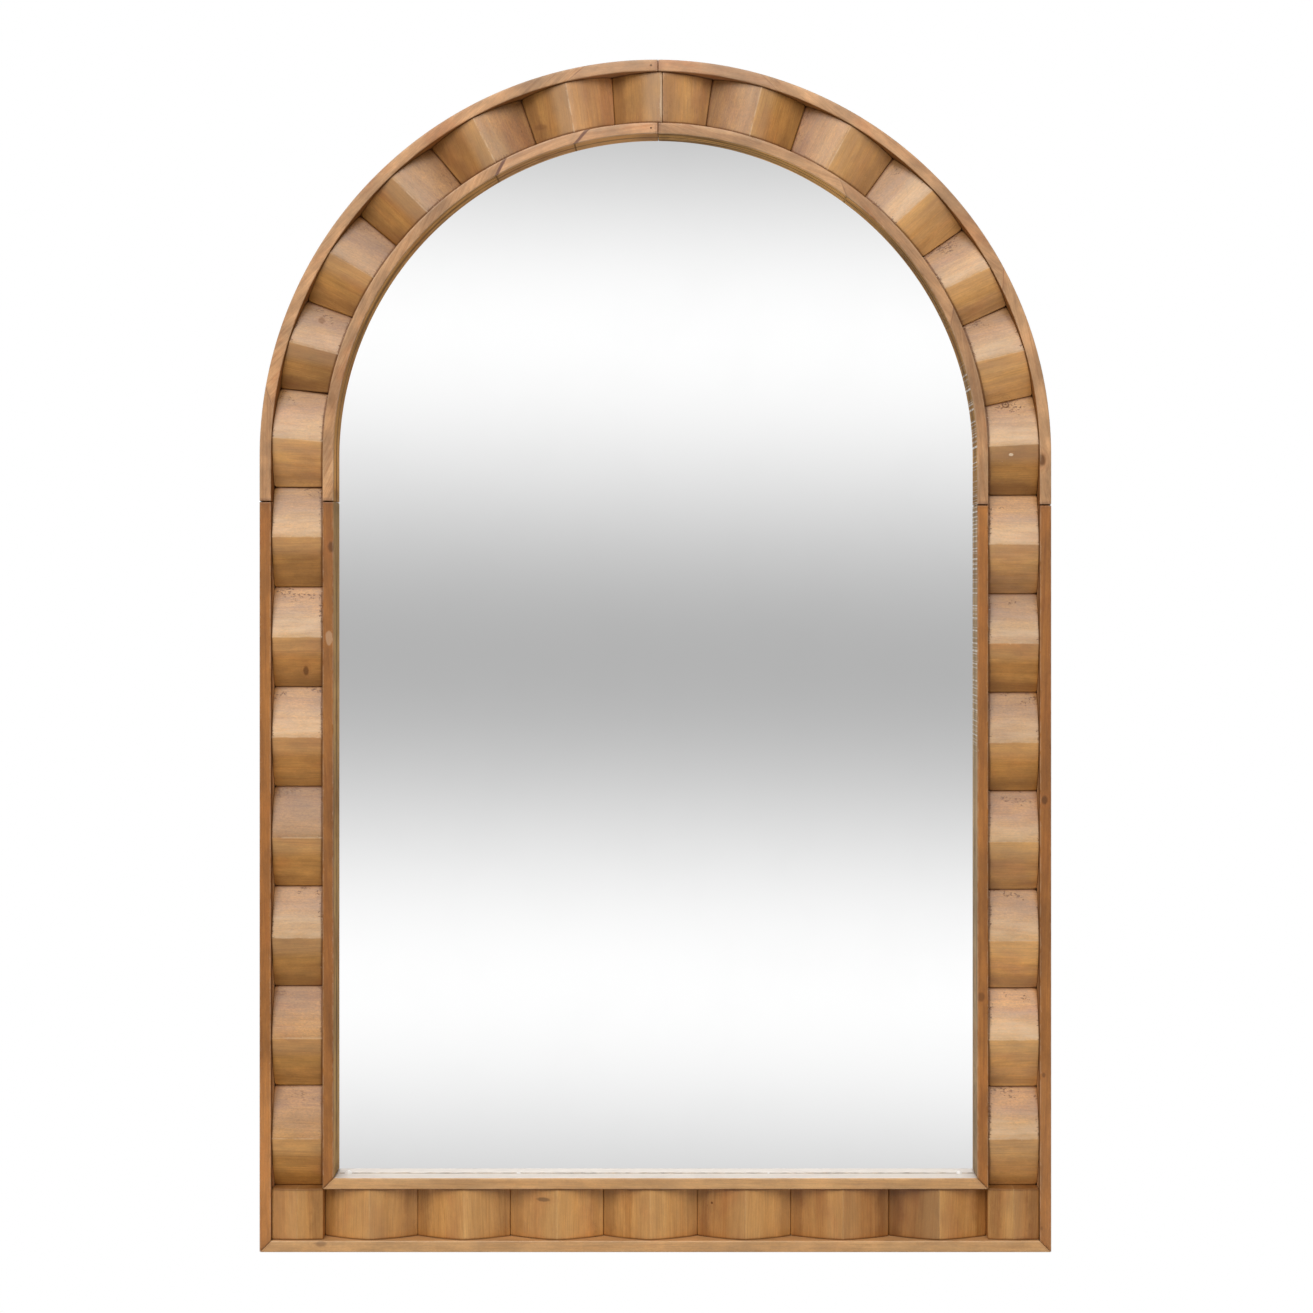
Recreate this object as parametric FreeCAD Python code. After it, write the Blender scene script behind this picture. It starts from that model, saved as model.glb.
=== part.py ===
import FreeCAD, Part
import math
import os

Vector = FreeCAD.Vector

# Overall size of the frame, in millimetres
FRAME_WIDTH = 792.0
FRAME_HEIGHT = 1193.0

# Rails that edge the frame outside and inside
RAIL_DEPTH = 38.0
OUTER_RAIL_WIDTH = 11.5
INNER_RAIL_WIDTH = 11.0
RAIL_EASING = 1.0
MITRE_GAP = 0.3
SEAM_GAP = 1.2
LEFT_SEAM_DROP = 46.0
RIGHT_SEAM_DROP = 49.5
APEX_SEAM_GAP = 0.5
RAIL_SEAM_SHIFT = 2.6

# Rebate in the back of the inner rail
REBATE_WIDTH = 6.0
REBATE_DEPTH = 16.0

# Channel between the rails and the plywood base at the back of it
CHANNEL_WIDTH = 51.5
BASE_THICKNESS = 12.0
BASE_FIT = 0.2
APEX_LAP = 60.0

# Gable moulding that the blocks are sawn from
VALLEY_THICKNESS = 6.0
RIDGE_THICKNESS = 24.0
FACE_CROWN = 1.9
BLOCK_FIT = 0.3
BLOCK_GAP = 0.3
BLOCKS_PER_LEG = 7
LEFT_JOINT_DROP = 31.0
RIGHT_JOINT_DROP = 39.0

# Lines across the arch, ridge and joint in turn from the leg up to the apex.
# Each has its place round the arch and its own lie, in degrees from level.
LEFT_LINE_ANGLES = (
    (2.6, 4.9), (10.6, 5.5), (17.5, 14.6), (24.3, 20.1),
    (32.1, 29.5), (39.1, 39.9), (46.7, 44.5), (54.2, 50.0),
    (61.5, 63.4), (69.2, 71.0), (76.2, 80.0), (83.2, 86.6),
)
RIGHT_LINE_ANGLES = (
    (1.7, 3.0), (8.9, 13.4), (16.1, 13.6), (23.1, 25.0),
    (29.7, 25.9), (36.6, 35.1), (43.9, 42.5), (51.3, 54.2),
    (59.2, 61.1), (66.5, 72.0), (73.8, 76.3), (81.4, 82.0),
)
APEX_RIDGE_SHIFT = 4.6
APEX_JOINT_SHIFT = 7.0

# Joints and ridges along the foot, from the left corner block to the right one
BOTTOM_LINE_SHARES = (
    0, 0.070, 0.140, 0.212, 0.280, 0.352, 0.421, 0.492,
    0.563, 0.635, 0.704, 0.782, 0.852, 0.927, 1,
)

# Low square blocks in the two bottom corners
CORNER_EDGE_THICKNESS = 21.0
CORNER_RIDGE_THICKNESS = 23.5
CORNER_CROWN = 0.2

# Mirror glass and the hardboard behind it
GLASS_THICKNESS = 4.0
BACKING_THICKNESS = 3.0
GLASS_CLEARANCE = 1.0

# Glazing points driven into the wall of the rebate
POINT_THICKNESS = 0.6
POINT_WIDTH = 9.0
POINT_SHOULDER = 5.0
POINT_REACH = 4.0
POINT_BITE = 3.5
POINTS_PER_LEG = 4
POINTS_ALONG_BOTTOM = 3
ARCH_POINT_ANGLES = (20.0, 50.0, 80.0, 100.0, 130.0, 160.0)

# Sides that small round wire, pins and holes are drawn with
FINE_SIDES = 12
WIRE_SIDES = 6

# Brads sunk flush in the rails beside the apex seam
BRAD_RADIUS = 0.8
BRAD_LENGTH = 22.0
BRAD_SHIFT = 7.0

# Strap hangers on the back of the two legs
HANGER_DROP = 20.0
STRAP_WIDTH = 18.0
STRAP_LENGTH = 50.0
STRAP_THICKNESS = 1.2
LOOP_WALL = 0.8
STRAP_CORNER = 4.0
RING_WIRE_RADIUS = 1.5
RING_RUNNING_CLEARANCE = 0.08
RING_SIDE_CLEARANCE = 1.0
RING_CORNER = 2.0
RING_LEG = 5.0

# Round head screws that hold the straps
SCREW_RADIUS = 1.75
SCREW_LENGTH = 11.0
SCREW_TIP = 3.0
SCREW_TIP_RADIUS = 0.3
SCREW_HEAD_RADIUS = 3.6
SCREW_HEAD_FLAT_RADIUS = 1.2
SCREW_HEAD_HEIGHT = 2.2
SCREW_HOLE_CLEARANCE = 0.35
FIRST_SCREW_DROP = 27.0
SCREW_SPACING = 15.0

# Rubber wall bumpers on the bottom corners
BUMPER_RADIUS = 6.0
BUMPER_HEIGHT = 4.8
BUMPER_EASING = 1.2

# Sizes that follow from the ones above
HALF_WIDTH = FRAME_WIDTH / 2
SPRING_HEIGHT = FRAME_HEIGHT - HALF_WIDTH
BACK_Y = RAIL_DEPTH / 2
CHANNEL_OUT = OUTER_RAIL_WIDTH
CHANNEL_MID = CHANNEL_OUT + CHANNEL_WIDTH / 2
CHANNEL_IN = CHANNEL_OUT + CHANNEL_WIDTH
OPENING_INSET = CHANNEL_IN + INNER_RAIL_WIDTH
REBATE_INSET = OPENING_INSET - REBATE_WIDTH
GLASS_INSET = REBATE_INSET + GLASS_CLEARANCE
MID_RADIUS = HALF_WIDTH - CHANNEL_MID
GLASS_BACK = REBATE_DEPTH - GLASS_THICKNESS
BACKING_BACK = GLASS_BACK - BACKING_THICKNESS
CUT_REACH = FRAME_WIDTH + FRAME_HEIGHT
BAR_RISE = -(RING_WIRE_RADIUS + RING_RUNNING_CLEARANCE + LOOP_WALL)
BAR_HEIGHT = SPRING_HEIGHT - HANGER_DROP
OVER_APEX_ANGLE = 5.0
BACKWARD = Vector(0, 1, 0)


def place(x, rise, z):
    """Give the point that lies a rise in front of the frame's back."""
    return Vector(x, BACK_Y - rise, z)


def line(start, end):
    """Give a straight edge."""
    return Part.LineSegment(start, end).toShape()


def arc(start, middle, end):
    """Give a round edge through three points."""
    return Part.Arc(start, middle, end).toShape()


def polygon_face(points):
    """Give the flat face inside a closed run of points."""
    return Part.Face(Part.makePolygon(points + points[:1]))


def keep_side(shape, at, facing):
    """Keep the part of a shape on the side of a plane that facing points to."""
    corner = Vector(-CUT_REACH, -CUT_REACH, 0)
    half_space = Part.makeBox(2 * CUT_REACH, 2 * CUT_REACH, CUT_REACH, corner)
    turn = FreeCAD.Rotation(Vector(0, 0, 1), facing)
    half_space.Placement = FreeCAD.Placement(at, turn)
    return shape.common(half_space)


def slab(x_low, x_high, rise_low, rise_high, z_low, z_high):
    """Give a box between two values of each of x, rise and z."""
    corner = place(x_low, rise_high, z_low)
    return Part.makeBox(x_high - x_low, rise_high - rise_low, z_high - z_low, corner)


def mirrored(shape):
    """Give a shape's mirror image across the middle of the frame."""
    return shape.mirror(Vector(0, 0, 0), Vector(1, 0, 0))


def outline_face(inset, rise):
    """Give the frame's arched outline drawn in by an inset, as a face that looks back."""
    reach = HALF_WIDTH - inset
    low_left = place(-reach, rise, inset)
    low_right = place(reach, rise, inset)
    spring_right = place(reach, rise, SPRING_HEIGHT)
    spring_left = place(-reach, rise, SPRING_HEIGHT)
    crown = place(0, rise, SPRING_HEIGHT + reach)
    edges = [
        line(low_left, low_right),
        line(low_right, spring_right),
        arc(spring_right, crown, spring_left),
        line(spring_left, low_left),
    ]
    return Part.Face(Part.Wire(edges))


def arched_sheet(inset, rise_low, rise_high):
    """Give the solid sheet inside the arched outline at an inset."""
    return outline_face(inset, rise_high).extrude(BACKWARD * (rise_high - rise_low))


def arched_band(inset_out, inset_in, rise_low, rise_high):
    """Give the band between two insets of the arched outline."""
    hole = arched_sheet(inset_in, rise_low, rise_high)
    return arched_sheet(inset_out, rise_low, rise_high).cut(hole)


def rail_section(inset_out, inset_in, rebated):
    """Give a rail's cross-section on the left leg, level with the frame's foot."""
    left = inset_out - HALF_WIDTH
    right = inset_in - HALF_WIDTH
    shoulder = RAIL_DEPTH - RAIL_EASING
    outline = [
        place(left, 0, 0),
        place(left, shoulder, 0),
        place(left + RAIL_EASING, RAIL_DEPTH, 0),
        place(right - RAIL_EASING, RAIL_DEPTH, 0),
        place(right, shoulder, 0),
    ]
    if rebated:
        outline.append(place(right, REBATE_DEPTH, 0))
        outline.append(place(right - REBATE_WIDTH, REBATE_DEPTH, 0))
        outline.append(place(right - REBATE_WIDTH, 0, 0))
    else:
        outline.append(place(right, 0, 0))
    return polygon_face(outline)


def arch_rail(section, seam_drop, seam_shift):
    """Bend a rail over the left half of the arch, from its seam on the leg to the apex."""
    low = SPRING_HEIGHT - seam_drop + SEAM_GAP / 2
    straight = section.translated(Vector(0, 0, low)).extrude(Vector(0, 0, SPRING_HEIGHT - low))
    lifted = section.translated(Vector(0, 0, SPRING_HEIGHT))
    centre = Vector(0, 0, SPRING_HEIGHT)
    bend = lifted.revolve(centre, BACKWARD, 90 + OVER_APEX_ANGLE)
    rail = straight.fuse(bend).removeSplitter()
    seam = Vector(seam_shift - APEX_SEAM_GAP / 2, 0, 0)
    return keep_side(rail, seam, Vector(-1, 0, 0))


def side_rail(section, seam_drop):
    """Run a rail up the left leg from its mitred foot to the seam."""
    high = SPRING_HEIGHT - seam_drop - SEAM_GAP / 2
    rail = section.extrude(Vector(0, 0, high))
    normal = Vector(-1, 0, 1).normalize()
    mitre = Vector(-HALF_WIDTH, 0, 0) + normal * (MITRE_GAP / 2)
    return keep_side(rail, mitre, normal)


def bottom_rail(section):
    """Run a rail along the foot of the frame, mitred at both ends."""
    laid = section.copy()
    laid.rotate(Vector(-HALF_WIDTH, 0, 0), BACKWARD, -90)
    rail = laid.extrude(Vector(FRAME_WIDTH, 0, 0))
    for end in (-1, 1):
        normal = Vector(-end, 0, -1).normalize()
        mitre = Vector(end * HALF_WIDTH, 0, 0) + normal * (MITRE_GAP / 2)
        rail = keep_side(rail, mitre, normal)
    return rail


def cross_line(point, angle):
    """Give a line over the channel: its middle and the way it points, outwards."""
    lie = math.radians(angle)
    return point, Vector(-math.cos(lie), 0, math.sin(lie))


def reach_from(ridge, joint):
    """Measure how far a joint's farther end lies from a ridge line."""
    across = ridge[1].cross(BACKWARD)
    ends = [joint[0] + joint[1] * (end * CHANNEL_WIDTH / 2) for end in (-1, 1)]
    return max(abs((end - ridge[0]).dot(across)) for end in ends)


def gable(ridge, half_width, edge, peak, crown):
    """Extrude a length of gable moulding that lies along a ridge line."""
    middle, along = ridge
    across = along.cross(BACKWARD)

    def spot(offset, thickness):
        at = middle + across * offset
        return place(at.x, BASE_THICKNESS + thickness, at.z) - along * CHANNEL_WIDTH

    slope = math.atan2(peak - edge, half_width)
    bulge_out = crown * math.sin(slope)
    bulge_up = crown * math.cos(slope)
    half = half_width / 2 + bulge_out
    height = (edge + peak) / 2 + bulge_up
    top = spot(0, peak)
    edges = [
        line(spot(-half_width, 0), spot(-half_width, edge)),
        arc(spot(-half_width, edge), spot(-half, height), top),
        arc(top, spot(half, height), spot(half_width, edge)),
        line(spot(half_width, edge), spot(half_width, 0)),
        line(spot(half_width, 0), spot(-half_width, 0)),
    ]
    return Part.Face(Part.Wire(edges)).extrude(along * (2 * CHANNEL_WIDTH))


def gable_block(low, ridge, high, channel, half_width):
    """Saw a block off the moulding between two joints and fit it in the channel."""
    block = gable(ridge, half_width, VALLEY_THICKNESS, RIDGE_THICKNESS, FACE_CROWN)
    block = block.common(channel)
    for joint, way in ((low, 1), (high, -1)):
        normal = joint[1].cross(BACKWARD) * -way
        block = keep_side(block, joint[0] + normal * (BLOCK_GAP / 2), normal)
    return block


def leg_lines(joint_drop):
    """List the joints and ridges up the left leg, from the corner block to the arch."""
    top = SPRING_HEIGHT - joint_drop
    step = (top - CHANNEL_IN) / (2 * BLOCKS_PER_LEG)
    lines = []
    for index in range(2 * BLOCKS_PER_LEG + 1):
        point = Vector(-MID_RADIUS, 0, CHANNEL_IN + step * index)
        lines.append(cross_line(point, 0))
    return lines


def arch_lines(table):
    """List the ridges and joints round the left half of the arch."""
    lines = []
    for place_angle, lie in table:
        turn = math.radians(place_angle)
        x = -MID_RADIUS * math.cos(turn)
        z = SPRING_HEIGHT + MID_RADIUS * math.sin(turn)
        lines.append(cross_line(Vector(x, 0, z), lie))
    return lines


def run_of_blocks(lines, channel):
    """Saw the blocks between each joint and the next of a run of lines."""
    blocks = []
    for low, ridge, high in zip(lines[0::2], lines[1::2], lines[2::2]):
        half_width = max(reach_from(ridge, low), reach_from(ridge, high))
        blocks.append(gable_block(low, ridge, high, channel, half_width))
    return blocks


def bottom_blocks(channel):
    """Saw the blocks along the foot of the frame, whose ridges stand upright."""
    reach = HALF_WIDTH - CHANNEL_IN
    lines = []
    for share in BOTTOM_LINE_SHARES:
        point = Vector((2 * share - 1) * reach, 0, CHANNEL_MID)
        lines.append(cross_line(point, 90))
    return run_of_blocks(lines, channel)


def apex_block(joint, ridge_shift, seam_shift, channel):
    """Saw the short block between the last joint of the arch and the apex seam."""
    height = SPRING_HEIGHT + MID_RADIUS
    ridge = cross_line(Vector(ridge_shift, 0, height), 90)
    seam = cross_line(Vector(seam_shift, 0, height), 90)
    half_width = reach_from(ridge, joint)
    return gable_block(joint, ridge, seam, channel, half_width)


def corner_block():
    """Make the low square block of the bottom left corner, its grain upright."""
    low = CHANNEL_OUT + BLOCK_FIT
    high = CHANNEL_IN - BLOCK_GAP / 2
    ridge = cross_line(Vector(-MID_RADIUS, 0, CHANNEL_MID), 90)
    body = gable(ridge, CHANNEL_WIDTH / 2, CORNER_EDGE_THICKNESS, CORNER_RIDGE_THICKNESS, CORNER_CROWN)
    room = slab(low - HALF_WIDTH, high - HALF_WIDTH, BASE_THICKNESS, RAIL_DEPTH, low, high)
    return body.common(room)


def base_pieces():
    """Cut the plywood base into two J shapes and a foot, lapped half and half."""
    ring = arched_band(CHANNEL_OUT + BASE_FIT, CHANNEL_IN - BASE_FIT, 0, BASE_THICKNESS)
    lap = BASE_THICKNESS / 2
    inner = HALF_WIDTH - CHANNEL_IN
    foot = slab(-HALF_WIDTH, HALF_WIDTH, 0, BASE_THICKNESS, 0, CHANNEL_IN)
    between = slab(-inner, inner, 0, BASE_THICKNESS, 0, CHANNEL_IN)
    front_half = slab(-HALF_WIDTH, HALF_WIDTH, lap, BASE_THICKNESS, 0, CHANNEL_IN)
    left_side = slab(-HALF_WIDTH, 0, 0, BASE_THICKNESS, 0, FRAME_HEIGHT)
    top_behind = slab(-APEX_LAP / 2, APEX_LAP / 2, 0, lap, SPRING_HEIGHT, FRAME_HEIGHT)
    top_before = slab(-APEX_LAP / 2, APEX_LAP / 2, lap, BASE_THICKNESS, SPRING_HEIGHT, FRAME_HEIGHT)
    sides = ring.cut(front_half).cut(between)
    left = sides.common(left_side.fuse(top_behind)).cut(top_before)
    right = sides.cut(left_side).cut(top_behind)
    right = right.fuse(sides.common(top_before)).removeSplitter()
    bottom = ring.common(foot).cut(sides)
    return left, right, bottom


def glazing_point(at, outward):
    """Make one flat glazing point whose tip bites into the rebate wall at a place."""
    along = outward.cross(BACKWARD)
    outline = []
    for out, wide in (
        (-POINT_REACH, -POINT_WIDTH / 2), (0, -POINT_WIDTH / 2), (POINT_BITE, 0),
        (0, POINT_WIDTH / 2), (-POINT_REACH, POINT_WIDTH / 2), (-POINT_SHOULDER, 0),
    ):
        spot = at + outward * out + along * wide
        outline.append(place(spot.x, BACKING_BACK, spot.z))
    return polygon_face(outline).extrude(BACKWARD * POINT_THICKNESS)


def glazing_points():
    """Set the glazing points round the rebate, up the legs, over the arch and along the foot."""
    wall = HALF_WIDTH - REBATE_INSET
    points = []
    step = (SPRING_HEIGHT - REBATE_INSET) / POINTS_PER_LEG
    for side in (-1, 1):
        for index in range(POINTS_PER_LEG):
            at = Vector(side * wall, 0, REBATE_INSET + step * (index + 0.5))
            points.append(glazing_point(at, Vector(side, 0, 0)))
    for angle in ARCH_POINT_ANGLES:
        turn = math.radians(angle)
        outward = Vector(math.cos(turn), 0, math.sin(turn))
        at = Vector(0, 0, SPRING_HEIGHT) + outward * wall
        points.append(glazing_point(at, outward))
    step = 2 * wall / POINTS_ALONG_BOTTOM
    for index in range(POINTS_ALONG_BOTTOM):
        at = Vector(step * (index + 0.5) - wall, 0, REBATE_INSET)
        points.append(glazing_point(at, Vector(0, 0, -1)))
    return Part.makeCompound(points)


def spindle(points, at):
    """Loft a many-sided pin through rings of radius and height on an axis that points back."""
    rings = []
    for radius, height in points:
        rim = []
        for index in range(FINE_SIDES):
            turn = 2 * math.pi * index / FINE_SIDES
            rim.append(at + Vector(math.cos(turn) * radius, height, math.sin(turn) * radius))
        rings.append(Part.makePolygon(rim + rim[:1]))
    return Part.makeLoft(rings, True, True)


def rail_brads():
    """Make the two brads beside the apex seam, one in each rail."""
    brads = []
    for inset, width in ((0, OUTER_RAIL_WIDTH), (CHANNEL_IN, INNER_RAIL_WIDTH)):
        radius = HALF_WIDTH - inset - width / 2
        x = RAIL_SEAM_SHIFT - BRAD_SHIFT
        z = SPRING_HEIGHT + math.sqrt(radius * radius - x * x)
        brads.append(spindle([(BRAD_RADIUS, 0), (BRAD_RADIUS, BRAD_LENGTH)], place(x, RAIL_DEPTH, z)))
    return brads


def spun(points, at):
    """Spin a half profile of radius and height round an axis that points back."""
    outline = [Vector(radius, height, 0) for radius, height in points]
    body = polygon_face(outline).revolve(Vector(0, 0, 0), BACKWARD, 360)
    return body.translated(at)


def screw(x, z):
    """Make a round head screw that is driven forward through a strap."""
    crown = SCREW_HEAD_RADIUS * math.sqrt(0.75)
    rise = SCREW_HEAD_HEIGHT / 2
    seat = place(x, -STRAP_THICKNESS, z)
    shank = spindle([
        (SCREW_TIP_RADIUS, -SCREW_LENGTH), (SCREW_RADIUS, SCREW_TIP - SCREW_LENGTH), (SCREW_RADIUS, 0),
    ], seat)
    head = spindle([
        (SCREW_HEAD_RADIUS, 0), (crown, rise), (SCREW_HEAD_FLAT_RADIUS, SCREW_HEAD_HEIGHT),
    ], seat)
    return shank.fuse(head)


def screws(side):
    """Make the screws of the hanger on one side."""
    made = []
    for index in range(2):
        z = BAR_HEIGHT - FIRST_SCREW_DROP - SCREW_SPACING * index
        made.append(screw(side * MID_RADIUS, z))
    return made


def hanger_strap(side):
    """Fold a strap round the bar of its ring and drill it for its screws."""
    x = side * MID_RADIUS
    bore_radius = RING_WIRE_RADIUS + RING_RUNNING_CLEARANCE
    loop_radius = bore_radius + LOOP_WALL
    across = Vector(1, 0, 0)
    bar = place(x - STRAP_WIDTH / 2, BAR_RISE, BAR_HEIGHT)
    loop = Part.makeCylinder(loop_radius, STRAP_WIDTH, bar, across)
    tail = slab(
        x - STRAP_WIDTH / 2, x + STRAP_WIDTH / 2, -STRAP_THICKNESS, 0, BAR_HEIGHT - STRAP_LENGTH, BAR_HEIGHT
    )
    corners = [
        edge for edge in tail.Edges
        if edge.BoundBox.YLength > STRAP_THICKNESS / 2 and edge.BoundBox.ZMax < BAR_HEIGHT - STRAP_LENGTH / 2
    ]
    tail = tail.makeFillet(STRAP_CORNER, corners)
    lean = math.acos((loop_radius - STRAP_THICKNESS) / loop_radius)
    fold = polygon_face([
        place(bar.x, -STRAP_THICKNESS, BAR_HEIGHT - loop_radius * (math.sin(lean) + math.tan(lean / 2))),
        place(bar.x, -STRAP_THICKNESS, BAR_HEIGHT),
        place(bar.x, BAR_RISE - loop_radius * math.sin(lean / 2), BAR_HEIGHT - loop_radius * math.cos(lean / 2)),
    ]).extrude(across * STRAP_WIDTH)
    strap = loop.fuse(tail).fuse(fold)
    strap = strap.cut(Part.makeCylinder(bore_radius, STRAP_WIDTH, bar, across))
    for index in range(2):
        z = BAR_HEIGHT - FIRST_SCREW_DROP - SCREW_SPACING * index
        hole_radius = SCREW_RADIUS + SCREW_HOLE_CLEARANCE
        hole = spindle([(hole_radius, 0), (hole_radius, STRAP_THICKNESS)], place(x, 0, z))
        strap = strap.cut(hole)
    return strap.removeSplitter()


def wire_face(at):
    """Give the wire's cross-section round a point, for a wire that runs to the right."""
    rim = []
    for index in range(WIRE_SIDES):
        turn = 2 * math.pi * index / WIRE_SIDES
        rim.append(at + Vector(0, math.cos(turn), math.sin(turn)) * RING_WIRE_RADIUS)
    return polygon_face(rim)


def hang_ring(side):
    """Bend a ring of wire: a bar in the strap's loop, two short legs and a round bow."""
    half = STRAP_WIDTH / 2 + RING_SIDE_CLEARANCE + RING_WIRE_RADIUS
    bar_end = half - RING_CORNER
    corner = place(bar_end, BAR_RISE, BAR_HEIGHT + RING_CORNER)
    bow_centre = place(0, BAR_RISE, BAR_HEIGHT + RING_LEG)
    section = wire_face(place(0, BAR_RISE, BAR_HEIGHT))
    bar = section.extrude(Vector(bar_end, 0, 0))
    section = section.translated(Vector(bar_end, 0, 0))
    bend = section.revolve(corner, BACKWARD, -90)
    section.rotate(corner, BACKWARD, -90)
    leg = section.extrude(Vector(0, 0, RING_LEG - RING_CORNER))
    section = section.translated(Vector(0, 0, RING_LEG - RING_CORNER))
    bow = section.revolve(bow_centre, BACKWARD, -180)
    right_side = bar.fuse([bend, leg])
    ring = right_side.fuse([mirrored(right_side), bow]).removeSplitter()
    return ring.translated(Vector(side * MID_RADIUS, 0, 0))


def wall_bumper(side):
    """Make a soft round bumper behind a bottom corner."""
    at = place(side * MID_RADIUS, 0, CHANNEL_MID)
    return spun([
        (0, 0), (BUMPER_RADIUS, 0), (BUMPER_RADIUS, BUMPER_HEIGHT - BUMPER_EASING),
        (BUMPER_RADIUS - BUMPER_EASING, BUMPER_HEIGHT), (0, BUMPER_HEIGHT),
    ], at)


def build():
    """Make every piece of the frame, by name."""
    pieces = {}
    outer = rail_section(0, OUTER_RAIL_WIDTH, False)
    inner = rail_section(CHANNEL_IN, OPENING_INSET, True)
    brads = rail_brads()
    nails = Part.makeCompound(brads)
    points = glazing_points()
    for name, section in (("outer", outer), ("inner", inner)):
        left_arch = arch_rail(section, LEFT_SEAM_DROP, RAIL_SEAM_SHIFT)
        right_arch = mirrored(arch_rail(section, RIGHT_SEAM_DROP, -RAIL_SEAM_SHIFT))
        rails = {
            "arch_left": left_arch.cut(nails),
            "arch_right": right_arch,
            "side_left": side_rail(section, LEFT_SEAM_DROP),
            "side_right": mirrored(side_rail(section, RIGHT_SEAM_DROP)),
            "bottom": bottom_rail(section),
        }
        for part, rail in rails.items():
            if section is inner:
                rail = rail.cut(points)
            pieces[name + "_rail_" + part] = rail
    channel = arched_band(CHANNEL_OUT + BLOCK_FIT, CHANNEL_IN - BLOCK_FIT, BASE_THICKNESS, RAIL_DEPTH)
    for side, drop, table in (
        ("left", LEFT_JOINT_DROP, LEFT_LINE_ANGLES), ("right", RIGHT_JOINT_DROP, RIGHT_LINE_ANGLES),
    ):
        way = 1 if side == "left" else -1
        lines = leg_lines(drop) + arch_lines(table)
        for index, block in enumerate(run_of_blocks(lines, channel)):
            if index < BLOCKS_PER_LEG:
                name = "block_leg_%s_%d" % (side, index + 1)
            else:
                name = "block_arch_%s_%d" % (side, index + 1 - BLOCKS_PER_LEG)
            pieces[name] = block if way > 0 else mirrored(block)
        ridge = APEX_RIDGE_SHIFT if way > 0 else -APEX_JOINT_SHIFT
        block = apex_block(lines[-1], ridge, way * APEX_JOINT_SHIFT, channel)
        pieces["block_apex_" + side] = block if way > 0 else mirrored(block)
        corner = corner_block()
        pieces["block_corner_" + side] = corner if way > 0 else mirrored(corner)
    for index, block in enumerate(bottom_blocks(channel)):
        pieces["block_bottom_%d" % (index + 1)] = block
    base_left, base_right, base_bottom = base_pieces()
    left_screws = screws(-1)
    right_screws = screws(1)
    all_screws = Part.makeCompound(left_screws + right_screws)
    pieces["base_left"] = base_left.cut(Part.makeCompound(left_screws))
    pieces["base_right"] = base_right.cut(Part.makeCompound(right_screws))
    pieces["base_bottom"] = base_bottom
    pieces["mirror_glass"] = arched_sheet(GLASS_INSET, GLASS_BACK, REBATE_DEPTH)
    pieces["backing_board"] = arched_sheet(GLASS_INSET, BACKING_BACK, GLASS_BACK)
    pieces["glazing_points"] = points
    pieces["rail_brads"] = nails
    pieces["hanger_strap_left"] = hanger_strap(-1)
    pieces["hanger_strap_right"] = hanger_strap(1)
    pieces["hang_ring_left"] = hang_ring(-1)
    pieces["hang_ring_right"] = hang_ring(1)
    pieces["hanger_screws"] = all_screws
    pieces["wall_bumpers"] = Part.makeCompound([wall_bumper(-1), wall_bumper(1)])
    return pieces


def main():
    """Build the frame and write each piece."""
    os.makedirs("parts", exist_ok=True)
    for name, shape in build().items():
        solids = len(shape.Solids)
        print(name, "solids", solids, "volume", round(shape.Volume), "valid", shape.isValid())
        shape.exportStep("parts/" + name + ".step")


main()
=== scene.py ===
import logging
import math
import random
from dataclasses import dataclass, field, replace
from enum import Enum, IntEnum
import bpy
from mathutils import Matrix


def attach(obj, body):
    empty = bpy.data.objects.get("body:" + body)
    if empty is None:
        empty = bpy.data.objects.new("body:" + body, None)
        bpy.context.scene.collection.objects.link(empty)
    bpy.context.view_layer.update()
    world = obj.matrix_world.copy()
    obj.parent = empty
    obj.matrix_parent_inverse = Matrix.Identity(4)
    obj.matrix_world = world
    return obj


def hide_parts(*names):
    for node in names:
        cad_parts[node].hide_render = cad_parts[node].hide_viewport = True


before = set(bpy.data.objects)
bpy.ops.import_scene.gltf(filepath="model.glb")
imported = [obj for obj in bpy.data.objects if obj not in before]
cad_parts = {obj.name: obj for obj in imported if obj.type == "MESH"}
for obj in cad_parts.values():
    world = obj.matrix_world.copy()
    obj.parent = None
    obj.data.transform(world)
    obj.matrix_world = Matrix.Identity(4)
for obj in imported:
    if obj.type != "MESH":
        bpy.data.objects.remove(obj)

from types import SimpleNamespace
from typing import Callable, ClassVar, Optional, Sequence, Union

import bpy
from mathutils import Vector, noise

LOG = logging.getLogger("arched_mirror")

Socket = bpy.types.NodeSocket
Object = bpy.types.Object
Material = bpy.types.Material
Point = tuple[float, float]
Triple = tuple[float, float, float]
Colour = Triple
Ending = Callable[[float], float]

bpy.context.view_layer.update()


# ---------------- sizes


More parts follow.
